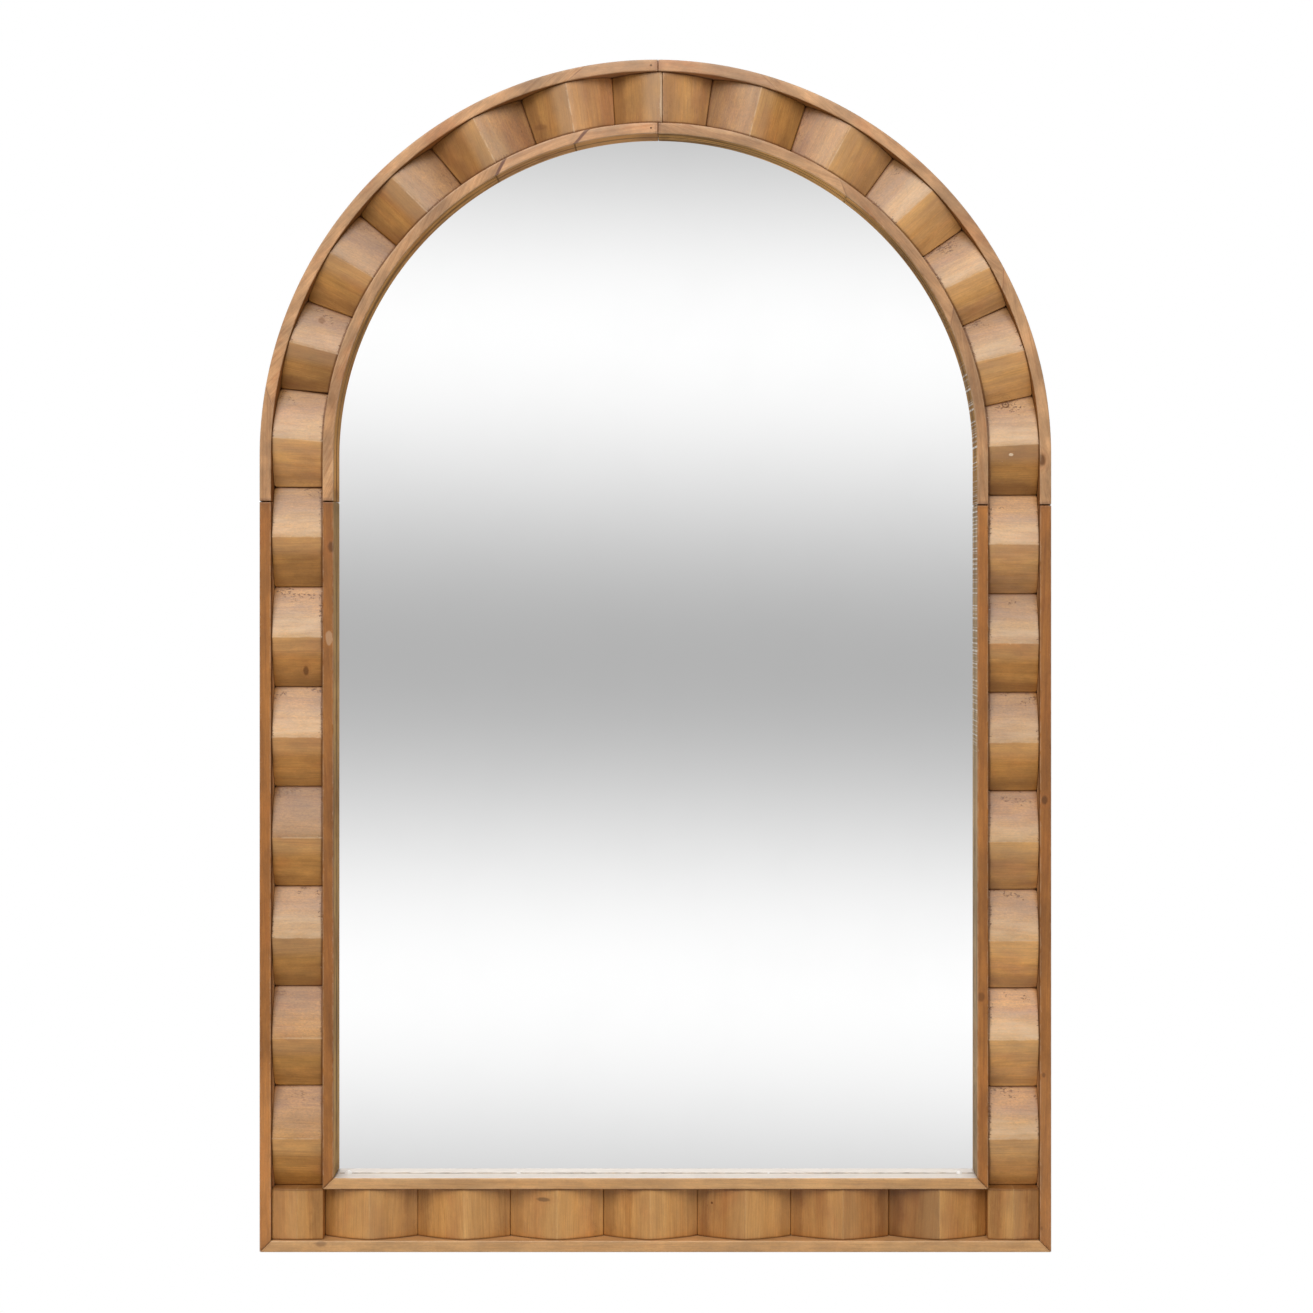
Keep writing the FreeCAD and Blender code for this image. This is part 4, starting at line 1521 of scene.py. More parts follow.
@dataclass
class BlockMoulding:
    """All the blocks: up both legs, over the arch, along the foot and in the corners."""

    finish: WoodFinish
    foot_finish: WoodFinish
    dice: random.Random = field(default_factory=lambda: random.Random(41))
    per_leg: int = 7
    foot_shares: tuple[float, ...] = (
        0.0, 0.070, 0.140, 0.212, 0.280, 0.352, 0.421, 0.492,
        0.563, 0.635, 0.704, 0.782, 0.852, 0.927, 1.0,
    )
    left_lines: tuple[Point, ...] = (
        (2.6, 4.9), (10.6, 5.5), (17.5, 14.6), (24.3, 20.1), (32.1, 29.5), (39.1, 39.9),
        (46.7, 44.5), (54.2, 50.0), (61.5, 63.4), (69.2, 71.0), (76.2, 80.0), (83.2, 86.6),
    )
    right_lines: tuple[Point, ...] = (
        (1.7, 3.0), (8.9, 13.4), (16.1, 13.6), (23.1, 25.0), (29.7, 25.9), (36.6, 35.1),
        (43.9, 42.5), (51.3, 54.2), (59.2, 61.1), (66.5, 72.0), (73.8, 76.3), (81.4, 82.0),
    )
    apex_ridge: float = 0.0046
    apex_joint: float = 0.0070
    corner_edge: float = 0.021
    corner_ridge: float = 0.0235
    corner_crown: float = 0.0002
    crisp: float = 0.0010
    open_side: float = 0.13
    # The left arch takes darker tones than the right (umber, toffee, shell, dusk), which paint the shade that falls on
    # that side of the arch.
    side_tones: dict[Side, tuple[tuple[Tone, ...], ...]] = field(default_factory=lambda: {
        Side.LEFT: toned(
            "honey blush, honey blush, toffee pearl, honey dusk, amber pearl, amber pearl, toffee chalk, straw chalk, "
            "umber shell, toffee dusk, umber dusk, umber dusk, umber rose"
        ),
        Side.RIGHT: toned(
            "straw ivory, wheat milk, wheat pearl, straw chalk, honey chalk, amber ash, bran pearl, umber pearl, "
            "wheat chalk, straw chalk, straw chalk, bran blush, toffee dusk"
        ),
    })
    foot_tones: tuple[tuple[Tone, ...], ...] = toned(
        "straw bran, honey straw, straw wheat, honey straw, amber straw, amber russet, peat honey"
    )
    knots: dict[str, tuple[Knot, ...]] = field(default_factory=lambda: {
        "block_leg_left_6": (Knot(-0.3514, 0.5814, 0.0030, 0.0052, 0.85),),
        "block_bottom_3": (Knot(-0.1124, 0.0514, 0.0080, 0.0024),),
        "block_bottom_5": (Knot(0.0566, 0.0464, 0.0014, 0.0014),),
        "block_arch_right_1": (
            Knot(0.3519, 0.8489, 0.0038, 0.0034, 1.0, Mark.EYE), Knot(0.3562, 0.7980, 0.0024, 0.0016, 1.0, Mark.CHIP),
        ),
        "block_leg_left_3": (Knot(-0.3304, 0.2874, 0.0016, 0.0012, 0.8, Mark.CHIP),),
        "block_arch_left_2": (Knot(-0.3354, 0.9334, 0.0040, 0.0040, 0.55),),
        "block_apex_left": (Knot(0.0058, 1.1560, 0.0010, 0.0290, 0.55, Mark.CHIP),),
        "block_arch_left_6": (Knot(-0.1154, 1.1274, 0.0070, 0.0034, 0.45),),
    })

    def side_lines(self, side: Side) -> list[CrossLine]:
        """List the joints and ridges of one side, from its corner block to the apex.

        Args:
            side: the side of the frame.

        Returns:
            The lines: level ones up the leg, and leaning ones round the arch.
        """
        left = side is Side.LEFT
        top = SIZES.spring - (SIZES.left_joint_drop if left else SIZES.right_joint_drop)
        heights = [SIZES.channel_in, *even(SIZES.channel_in, top, 2 * self.per_leg), top]
        lines = [CrossLine(-SIZES.mid_radius, height, 0.0) for height in heights]
        for place, lie in self.left_lines if left else self.right_lines:
            x, z = ARCH.at(math.radians(place) * SIZES.mid_radius, SIZES.channel_mid)
            lines.append(CrossLine(x, z, lie))
        return lines

    def side_blocks(self, side: Side) -> list[GableBlock]:
        """Draw up the blocks of one side.

        Args:
            side: the side of the frame.

        Returns:
            The blocks from the corner to the apex.
        """
        left = side is Side.LEFT
        lines = self.side_lines(side)
        blocks = []
        for index, (tone, second) in enumerate(self.side_tones[side]):
            part, before = ("leg", 0) if index < self.per_leg else ("arch", self.per_leg)
            name = f"block_{part}_{side.label}_{index + 1 - before}"
            timber = Timber.picked(tone, self.dice, second)
            blocks.append(GableBlock(
                name, *lines[2 * index:2 * index + 3], timber, not left, self.knots.get(name, ()),
                open_side=self.open_side,
            ))
        kind, tone, places = (
            (GableBlock, Tone.UMBER, (self.apex_ridge, self.apex_joint)) if left
            else (ApexEndBlock, Tone.BRAN, (-self.apex_joint, -self.apex_joint))
        )
        crest, seam = (CrossLine(x, SIZES.spring + SIZES.mid_radius, 90.0) for x in places)
        name = f"block_apex_{side.label}"
        return blocks + [kind(
            name, lines[-1], crest, seam, Timber.picked(tone, self.dice), not left, self.knots.get(name, ()),
            half_width=crest.farthest(lines[-1]), rounding=self.crisp,
        )]

    def foot_blocks(self) -> list[GableBlock]:
        """Draw up the blocks along the foot, whose ridges stand upright.

        Returns:
            The blocks from left to right.
        """
        reach = SIZES.half - SIZES.channel_in
        lines = [CrossLine((2 * share - 1) * reach, SIZES.channel_mid, 90.0) for share in self.foot_shares]
        blocks = []
        for index, (tone, second) in enumerate(self.foot_tones):
            name = f"block_bottom_{index + 1}"
            blocks.append(FootBlock(
                name, *lines[2 * index:2 * index + 3], Timber.picked(tone, self.dice, second),
                knots=self.knots.get(name, ()), rounding=self.crisp,
            ))
        return blocks

    def corner_block(self, side: Side) -> GableBlock:
        """Draw up the low square block of one corner.

        Args:
            side: the side of the frame.

        Returns:
            The block.
        """
        low = SIZES.outer_rail + SIZES.fit - SIZES.gap / 2 - SIZES.half
        high = SIZES.channel_in - SIZES.half
        lines = [CrossLine(x, SIZES.channel_mid, 90.0) for x in (low, -SIZES.mid_radius, high)]
        timber = Timber.picked(Tone.ROSE if side is Side.LEFT else Tone.RUSSET, self.dice, Tone.HONEY)
        return FootBlock(
            f"block_corner_{side.label}", *lines, timber, side is Side.RIGHT, edge=self.corner_edge,
            peak=self.corner_ridge, crown=self.corner_crown, half_width=SIZES.channel / 2, rounding=self.crisp,
        )

    def build(self) -> None:
        """Make every block."""
        upright = self.finish.material()
        for block in self.side_blocks(Side.LEFT) + self.side_blocks(Side.RIGHT):
            block.build(upright)
        laid = self.foot_finish.material()
        for block in self.foot_blocks() + [self.corner_block(side) for side in Side]:
            block.build(laid)


# ---------------- the rails


class Wall(IntEnum):
    """Which of a rail's finishes a strip takes: the planed faces, the wall round the mirror, or a rough wall."""

    PLANED = 0
    REVEAL = 1
    ROUGH = 2


@dataclass
class Rail:
    """One slim rail, with eased arrises, that follows a course.

    Where it has breaks it is sawn from boards that are scarfed together, and each board's grain runs straight.
    """

    name: str
    course: Course
    inset_out: float
    inset_in: float
    start: Ending
    end: Ending
    timbers: tuple[Timber, ...]
    rebated: bool
    knots: tuple[Knot, ...] = ()
    mirrored: bool = False
    breaks: tuple[float, ...] = ()
    step: float = 0.012
    ease: float = 0.0006
    closing: Point = (0.0, 0.0)
    scarf: float = 0.3
    slant: float = -1.7
    slant_reach: float = 0.03
    scarf_step: float = 0.0022
    scarf_line: float = 0.0003
    scarf_fading: float = 0.003
    arris: float = 0.0012
    arris_steps: int = 5
    rubbed: float = 0.42
    kerf: float = 0.0032
    kerf_step: float = 0.0006

    @property
    def middle(self) -> float:
        """Inset of the rail's middle."""
        return (self.inset_out + self.inset_in) / 2

    def profile(self) -> list[Point]:
        """List the cross-section's points.

        Returns:
            Each point's inset and its rise from the back.
        """
        brink = SIZES.depth - self.kerf
        turns = [math.pi / 2 * index / self.arris_steps for index in range(self.arris_steps + 1)]
        eased = [(self.arris * (1 - math.cos(turn)), SIZES.depth - self.arris * (1 - math.sin(turn))) for turn in turns]
        points = [(self.inset_out, rise) for rise in (0.0, brink - self.kerf_step, brink)]
        points += [(self.inset_out + over, rise) for over, rise in eased]
        points += [(inset, SIZES.depth) for inset in even(self.inset_out, self.inset_in, 4)]
        points += [(self.inset_in - over, rise) for over, rise in reversed(eased)]
        points += [(self.inset_in, rise) for rise in (brink, brink - self.kerf_step)]
        if not self.rebated:
            return points + [(self.inset_in, 0.0)]
        wall = self.inset_in - SIZES.rebate_width
        return points + [(self.inset_in, SIZES.rebate_depth), (wall, SIZES.rebate_depth), (wall, 0.0)]

    def stations(self, length: float) -> list[float]:
        """List the stations along the rail, close together at its ends and at its scarfs.

        Args:
            length: the length of its middle line.

        Returns:
            Their distances from the start.
        """
        ends = [self.ease * share for share in (0.0, 0.12, 0.35, 1.0, 2.5)]
        places = spaced(length, ends, ends, self.step)
        for cut in self.breaks:
            at = cut - self.start(self.middle)
            nearest = min(range(len(places)), key=lambda index: abs(places[index] - at))
            places[nearest:nearest + 1] = [at - self.scarf_step, at, at + self.scarf_step]
        return places

    def plan(self) -> MeshPlan:
        """Draw up the rail by sweeping its cross-section along its course.

        Returns:
            The plan.
        """
        plan = MeshPlan()
        profile = self.profile()
        count = len(profile)
        first = self.start(self.middle)
        whole = self.end(self.middle) - first
        runs = []
        for at in self.stations(whole):
            runs.append(first + at)
            near, share = min(at, whole - at), at / whole
            drawn = rounded(near, self.ease) * 0.8
            from_cuts = [abs(runs[-1] - cut) for cut in self.breaks]
            skew = sum(self.slant * max(0.0, 1 - away / self.slant_reach) for away in from_cuts)
            stripe = min([*from_cuts, 1.0]) + self.scarf_line + (1 - self.scarf) * self.scarf_fading
            for inset, rise in profile:
                edge = math.hypot(min(inset - self.inset_out, self.inset_in - inset), rise - SIZES.depth)
                kept = min(max(inset, self.inset_out + drawn + SIZES.skin), self.inset_in - drawn)
                lifted = min(rise, SIZES.depth - drawn) if rise > SIZES.rebate_depth else rise
                start, end = self.start(kept), self.end(kept)
                run = start + (end - start) * share + skew * (kept - self.middle)
                if rise < SIZES.depth - self.kerf:
                    run -= self.closing[0] * max(0.0, 1 - at / self.ease)
                    run += self.closing[1] * max(0.0, 1 - (whole - at) / self.ease)
                x, z = self.course.at(run, kept)
                place = Vector((near, stripe, max(edge - self.arris * self.rubbed, 0.0)))
                grain = Vector((run, kept - self.middle, lifted))
                plan.corner(Vector((x, SIZES.back - lifted, z)), grain, place)
        walls = [self.wall(profile[corner - 1], profile[corner]) for corner in range(count)]
        for index, (before, beyond) in enumerate(zip(runs, runs[1:])):
            patch = sum((before + beyond) / 2 > cut for cut in self.breaks)
            low, high = index * count, (index + 1) * count
            for corner in range(count):
                after = (corner + 1) % count
                plan.face(low + corner, high + corner, high + after, low + after, patch=patch, finish=walls[after])
        last = len(plan.corners)
        plan.face(*reversed(range(count)), finish=Wall.ROUGH)
        plan.face(*range(last - count, last), patch=len(self.breaks), finish=Wall.ROUGH)
        if self.course is ARCH:
            plan.turned()
        if self.breaks:
            self.straighten(plan)
        if self.mirrored:
            plan.flipped()
        return plan

    def wall(self, first: Point, second: Point) -> Wall:
        """Tell which finish a strip of the rail takes.

        Args:
            first: the cross-section's point at the strip's one edge.
            second: the point at its other edge.

        Returns:
            The kind of wall.
        """
        if max(first[1], second[1]) > SIZES.depth - self.arris * 0.99:
            return Wall.PLANED
        if first[0] == second[0] == self.inset_in and self.rebated:
            return Wall.REVEAL
        if first[0] == second[0] == self.inset_out and not self.rebated:
            return Wall.PLANED
        return Wall.ROUGH

    def straighten(self, plan: MeshPlan) -> None:
        """Lay the grain of an arched rail straight through each board that it is sawn from.

        Args:
            plan: the rail's plan, whose grain it changes.
        """
        cuts = [self.start(self.middle), *self.breaks, self.end(self.middle)]
        boards = []
        for low, high in zip(cuts, cuts[1:]):
            run = (low + high) / 2
            boards.append(CrossLine(*self.course.at(run, self.middle), math.degrees(run / SIZES.mid_radius)))
        seen: dict[int, int] = {}
        for face, patch in zip(plan.faces, plan.patches):
            for index in face:
                seen.setdefault(index, patch)
        for index, patch in seen.items():
            corner = plan.corners[index]
            out, along = boards[patch].apart(corner.x, corner.z)
            plan.grain[index] = Vector((along, out, plan.grain[index].z))

    def build(self, slot: str, *finishes: Material) -> Object:
        """Make the rail and deliver it in place of its solid."""
        piece = finish_mesh("eased_" + self.name, self.plan(), self.timbers, self.knots)
        return deliver(piece, "frame", slot, [self.name], *finishes)


def rail_finishes() -> dict[str, Material]:
    """Make the finishes of the rails: planed faces, the walls round the mirror, and the walls beside the blocks, whose
    colours also paint the light and shade on them.

    Returns:
        The materials, by name.
    """
    planed = WoodFinish(
        "planed", ring_width=0.0030, wander=0.006, shade=0.2, reach=0.004, rail_shade=0.0, crest=0.0, wear=0.35,
        wax=0.1, lines=0.4,
    )
    rough = WoodFinish("rough", shade=0.3, wear=0.0, crest=0.0, wax=0.0, gloss=0.08, roughness=0.75)
    reveal = replace(rough, gloss=0.06, contrast=0.15, lines=0.1, hairs=0.0, band=0.1, layers=0.6, glass_line=0.6)
    ticked = replace(reveal, glass_line=0.7, bare=(0.860, 0.830, 0.780), ticks=0.9)
    kinds = (
        replace(planed, name="rail_leg", early=(0.410, 0.160, 0.032), late=(0.255, 0.086, 0.014), blush=0.2),
        replace(
            planed, name="rail_bent", early=(0.560, 0.312, 0.145), late=(0.370, 0.170, 0.062),
            stain=(0.150, 0.062, 0.046), ring_width=0.0022, wander=0.004, shade=0.35, rail_reach=0.0042,
            rail_shade=0.8, wax=0.25, contrast=0.50, blotch=0.20, cloudy=0.22, blush=0.35,
        ),
        replace(
            planed, name="rail_foot", early=(0.615, 0.330, 0.120), late=(0.430, 0.195, 0.056), gloss=0.45, blush=0.12,
        ),
        # The walls round the mirror are painted lighter than their deep, sideways place would show, and differently on
        # each side, to paint the light on them: arch_wall_right lighter than arch_wall_left, leg_wall_left lighter than
        # leg_wall_right.
        replace(
            reveal, name="arch_wall_left", early=(0.720, 0.375, 0.122), late=(0.500, 0.235, 0.070),
            stain=(0.150, 0.075, 0.030), layers=0.50,
        ),
        replace(
            ticked, name="arch_wall_right", early=(0.800, 0.440, 0.145), late=(0.560, 0.285, 0.085),
            stain=(0.105, 0.056, 0.026), layers=0.75, grade=(0.72, 1.16),
        ),
        replace(
            reveal, name="leg_wall_left", early=(0.720, 0.450, 0.180), late=(0.520, 0.300, 0.110),
            stain=(0.200, 0.125, 0.065),
        ),
        replace(
            ticked, name="leg_wall_right", early=(0.560, 0.405, 0.235), late=(0.390, 0.265, 0.140),
            stain=(0.130, 0.080, 0.045),
        ),
        # The foot's wall round the mirror faces up: its pale cream colour paints the overhead light and sheen on it.
        WoodFinish(
            "reveal_ledge", early=(0.660, 0.605, 0.545), late=(0.580, 0.505, 0.430), red=(0.60, 0.48, 0.42),
            shade=0.2, wear=0.0, crest=0.0, wax=0.3, gloss=0.5, roughness=0.45, contrast=0.2, lines=0.15, hairs=0.0,
            speckle=0.05, band=0.15, blotch=0.05, cloudy=0.05,
        ),
        # The walls beside the blocks: on the legs the deep part is painted pale, in place of the light in the narrow
        # gap, with a painted shadow strip near the front; over the arch the walls are painted dark brown for the shade
        # in the gap.
        replace(
            rough, name="trench_wall", early=(0.760, 0.430, 0.190), late=(0.560, 0.290, 0.120),
            stain=(0.135, 0.052, 0.020), lip=0.85,
        ),
        replace(
            rough, name="trench_wall_bent", early=(0.330, 0.150, 0.045), late=(0.220, 0.090, 0.028),
            stain=(0.130, 0.050, 0.018),
        ),
    )
    return {kind.name: kind.material() for kind in kinds}


PARTS = ("arch_left", "arch_right", "side_left", "side_right", "bottom")


@dataclass
class RailSet:
    """The outer or the inner ring of rails: two bent over the arch, two up the legs, and one along the foot."""

    name: str
    inset_out: float
    inset_in: float
    rebated: bool
    finishes: dict[str, Material]
    dice: random.Random
    tones: tuple[tuple[Tone, ...], ...]
    breaks: dict[Side, tuple[float, ...]]
    scarfs: dict[Side, float]
    knots: dict[str, tuple[Knot, ...]]
    foot: float = 0.0
    bent_step: float = 0.008
    worked_ease: float = 0.0008
    seam_closing: float = SIZES.seam_gap * 0.42
    apex_closing: float = SIZES.apex_gap * 0.35
    mitre: float = SIZES.mitre_gap / math.sqrt(2)

    def rail(self, part: str, course: Course, start: Ending, end: Ending, foot: float = 0.0, **shape: object) -> Rail:
        """Draw up one rail.

        Args:
            part: which of the rails it is.
            course: the way it follows.
            start: gives the run at which it starts, at an inset.
            end: gives the run at which it ends, at an inset.
            foot: how much paler it is near the frame's foot.
            shape: sizes that differ from a plain rail's.

        Returns:
            The rail.
        """
        name = f"{self.name}_rail_{part}"
        timbers = tuple(Timber.picked(tone, self.dice, foot=foot) for tone in self.tones[PARTS.index(part)])
        marks = self.knots.get(name, ())
        return Rail(
            name, course, self.inset_out, self.inset_in, start, end, timbers, self.rebated, marks,
            part.endswith("right"), **shape,
        )

    def side_rails(self, side: Side) -> tuple[Rail, Rail]:
        """Draw up one side's rails: the bent one from its seam to the apex, and the leg's up from its mitre.

        Args:
            side: the side of the frame.

        Returns:
            The bent rail and the leg's rail.
        """
        left = side is Side.LEFT
        seam = -(SIZES.left_seam_drop if left else SIZES.right_seam_drop)
        apex = (SIZES.apex_seam if left else -SIZES.apex_seam) - SIZES.apex_gap / 2
        bent = self.rail(
            f"arch_{side.label}", ARCH, lambda inset: seam + SIZES.seam_gap / 2,
            lambda inset: math.acos(-apex / (SIZES.half - inset)) * SIZES.mid_radius,
            breaks=tuple(math.radians(angle) * SIZES.mid_radius for angle in self.breaks[side]),
            step=self.bent_step, ease=self.worked_ease, closing=(self.seam_closing, self.apex_closing),
            scarf=self.scarfs[side],
        )
        leg = self.rail(
            f"side_{side.label}", ARCH, lambda inset: inset + self.mitre - SIZES.spring,
            lambda inset: seam - SIZES.seam_gap / 2, self.foot,
            ease=self.worked_ease, closing=(0.0, self.seam_closing),
        )
        return bent, leg

    def build(self) -> None:
        """Make the ring of rails."""
        slot, pick = f"{self.name}_rail_wood", self.finishes
        for side in Side:
            bent, leg = self.side_rails(side)
            bent.build(slot, pick["rail_bent"], pick[f"arch_wall_{side.label}"], pick["trench_wall_bent"])
            leg.build(slot, pick["rail_leg"], pick[f"leg_wall_{side.label}"], pick["trench_wall"])
        foot = self.rail(
            "bottom", FOOT, lambda inset: inset + self.mitre - SIZES.half,
            lambda inset: SIZES.half - inset - self.mitre,
        )
        foot.build(slot, pick["rail_foot"], pick["reveal_ledge"], pick["rail_foot"])


# ---------------- hangers, bumpers and the like


@dataclass(frozen=True)
class WireRing:
    """The hanging ring: a bar, two short legs and a round bow of wire."""

    side: Side
    bar_y: float = 0.02138
    bar_z: float = 0.777
    wire: float = 0.0015
    half: float = 0.0115
    corner: float = 0.002
    leg: float = 0.005
    sides: int = 20
    bar_steps: int = 6
    corner_steps: int = 8
    bow_steps: int = 40

    def route(self) -> list[Point]:
        """List the wire's middle line round the ring.

        Returns:
            Its points, as x and z from the bar's middle.
        """
        inner = self.half - self.corner
        bend, bow = (self.corner, self.corner), (self.half, self.half)
        points = [(-inner, 0.0), *((x, 0.0) for x in even(-inner, inner, self.bar_steps))]
        points += arc((inner, self.corner), bend, -90.0, 0.0, self.corner_steps)
        points += arc((0.0, self.leg), bow, 0.0, 180.0, self.bow_steps)
        return points + arc((-inner, self.corner), bend, 180.0, 270.0, self.corner_steps)[:-1]

    def build(self, material: Material) -> Object:
        """Make the ring and deliver it in place of its solid.

        Args:
            material: its finish.

        Returns:
            The ring.
        """
        points = self.route()
        centre = Vector((self.side.value * SIZES.mid_radius, self.bar_y, self.bar_z))
        corners = []
        for index, point in enumerate(points):
            before, after = points[index - 1], points[(index + 1) % len(points)]
            way = Vector((after[0] - before[0], 0.0, after[1] - before[1])).normalized()
            out = Vector((way.z, 0.0, -way.x))
            for side in range(self.sides):
                turn = 2 * math.pi * side / self.sides
                spoke = out * math.cos(turn) + Vector((0.0, 1.0, 0.0)) * math.sin(turn)
                corners.append(centre + Vector((point[0], 0.0, point[1])) + spoke * self.wire)
        label = self.side.label
        piece = smooth_piece(f"wire_ring_{label}", corners, woven(len(points), self.sides, ends=True))
        return deliver(piece, f"ring_{label}", "ring_steel", [f"hang_ring_{label}"], material)


@dataclass(frozen=True)
class CrossRecess:
    """The cross that is pressed in a screw's head."""

    arm: float = 0.00042
    reach: float = 0.0021
    depth: float = 0.0011
    tip: float = 0.0026
    left: float = 0.0004

    def sunk(self, x: float, z: float, height: float) -> float:
        """Give how far the head is pressed in at a place from its middle, where it stands at a height."""
        near, far = sorted((abs(x), abs(z)))
        pressed = height > 0 and near < self.arm and far < self.reach
        return min(height - self.left, self.depth * (1 - far / self.tip)) if pressed else 0.0


def lathe(
    name: str, outline: Sequence[Point], places: Sequence[Vector], sides: int, recess: Optional[CrossRecess] = None,
) -> Object:
    """Spin an outline about axes that point back, once at each place.

    Args:
        name: the object's name.
        outline: radius and height pairs, from the front to the back.
        places: where each spun piece stands.
        sides: how many sides it has.
        recess: the recess pressed in its back end, if it has one.

    Returns:
        The object, linked to the scene.
    """
    corners, faces = [], []
    for at in places:
        first = len(corners)
        for radius, height in outline:
            for side in range(sides):
                turn = 2 * math.pi * side / sides
                x, z = radius * math.cos(turn), radius * math.sin(turn)
                sunk = recess.sunk(x, z, height) if recess else 0.0
                corners.append((at.x + x, at.y + height - sunk, at.z + z))
        faces += woven(len(outline), sides, first)
        faces += [tuple(reversed(range(first, first + sides))), tuple(range(len(corners) - sides, len(corners)))]
    return smooth_piece(name, corners, [tuple(reversed(face)) for face in faces], 35.0)


@dataclass(frozen=True)
class BackHardware:
    """What hangs the mirror: straps, rings and their screws, and the bumpers at the foot."""

    strap: float = 0.0012
    bar_z: float = 0.777
    first_screw: float = 0.027
    screw_spacing: float = 0.015
    screw_radius: float = 0.00175
    screw_length: float = 0.011
    screw_tip: float = 0.0028
    screw_neck: float = 0.0006
    threads: int = 9
    crest: float = 0.97
    root: float = 0.74
    head_radius: float = 0.0036
    head_height: float = 0.0022
    head_edge: float = 0.0002
    bumper_radius: float = 0.006
    bumper_height: float = 0.0048
    bumper_easing: float = 0.0012
    dish: tuple[Point, ...] = ((0.6, 0.0001), (0.3, 0.0003), (0.05, 0.0004))

    def screws(self, material: Material) -> Object:
        """Make the four round head screws with their cross recesses.

        Args:
            material: their finish.

        Returns:
            The screws.
        """
        neck = self.screw_radius * self.crest
        start, end = self.screw_tip - self.screw_length, -self.screw_neck
        heights = [start, *even(start, end, 2 * self.threads), end]
        outline = [(0.00008, -self.screw_length)]
        outline += [(self.screw_radius * self.root if index % 2 else neck, at) for index, at in enumerate(heights)]
        outline += [(neck, 0.0), (self.head_radius, 0.0), (self.head_radius, self.head_edge)]
        outline += arc((0.0, 0.0), (self.head_radius, self.head_height), 0.0, 90.0, 9)[1:-1]
        outline += [(self.head_radius * share, self.head_height) for share in (0.12, 0.08, 0.03)]
        y, z = SIZES.back + self.strap, self.bar_z - self.first_screw
        rows = (z, z - self.screw_spacing)
        places = [Vector((side.value * SIZES.mid_radius, y, row)) for side in Side for row in rows]
        piece = lathe("round_head_screws", outline, places, 48, CrossRecess())
        return deliver(piece, "frame", "screw_steel", ["hanger_screws"], material)

    def bumpers(self, material: Material) -> Object:
        """Make the two soft round bumpers with their rolled edges and dished ends.

        Args:
            material: their finish.

        Returns:
            The bumpers.
        """
        radius, easing = self.bumper_radius, self.bumper_easing
        shoulder = self.bumper_height - easing
        outline = [(radius * 0.98, 0.0), (radius, 0.0004), (radius, shoulder * 0.6)]
        outline += arc((radius - easing, shoulder), (easing, easing), 0.0, 90.0, 8)
        outline += [(radius * share, self.bumper_height - sunk) for share, sunk in self.dish]
        places = [Vector((side.value * SIZES.mid_radius, SIZES.back, SIZES.channel_mid)) for side in Side]
        piece = lathe("soft_bumpers", outline, places, 40)
        return deliver(piece, "frame", "rubber", ["wall_bumpers"], material)

    def build(self) -> None:
        """Make and dress the hardware of the back."""
        wire = MetalFinish("plated_wire", Plating.WIRE).material()
        for side in Side:
            WireRing(side).build(wire)
        self.screws(MetalFinish("plated_screw", Plating.SCREW).material())
        self.bumpers(RubberFinish("milky_rubber").material())
        zinc = MetalFinish("zinc_plate", Plating.ZINC).material()
        for name in ("hanger_strap_left", "hanger_strap_right", "glazing_points"):
            dress(name, zinc, 0.00012)


def dress(name: str, material: Material, bevel: float = 0.0) -> None:
    """Give a solid its finish, and ease its edges.

    Args:
        name: the solid's name.
        material: its finish.
        bevel: the width of its eased edges, or 0.
    """
    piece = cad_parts[name]
    piece.data.materials.clear()
    piece.data.materials.append(material)
    if bevel:
        eased = piece.modifiers.new("eased", "BEVEL")
        eased.width = bevel
        eased.segments = 2
        eased.limit_method = "ANGLE"
        eased.angle_limit = math.radians(40)
        eased.use_clamp_overlap = True
    LOG.info("%s: keeps its solid, dressed in %s", name, material.name)


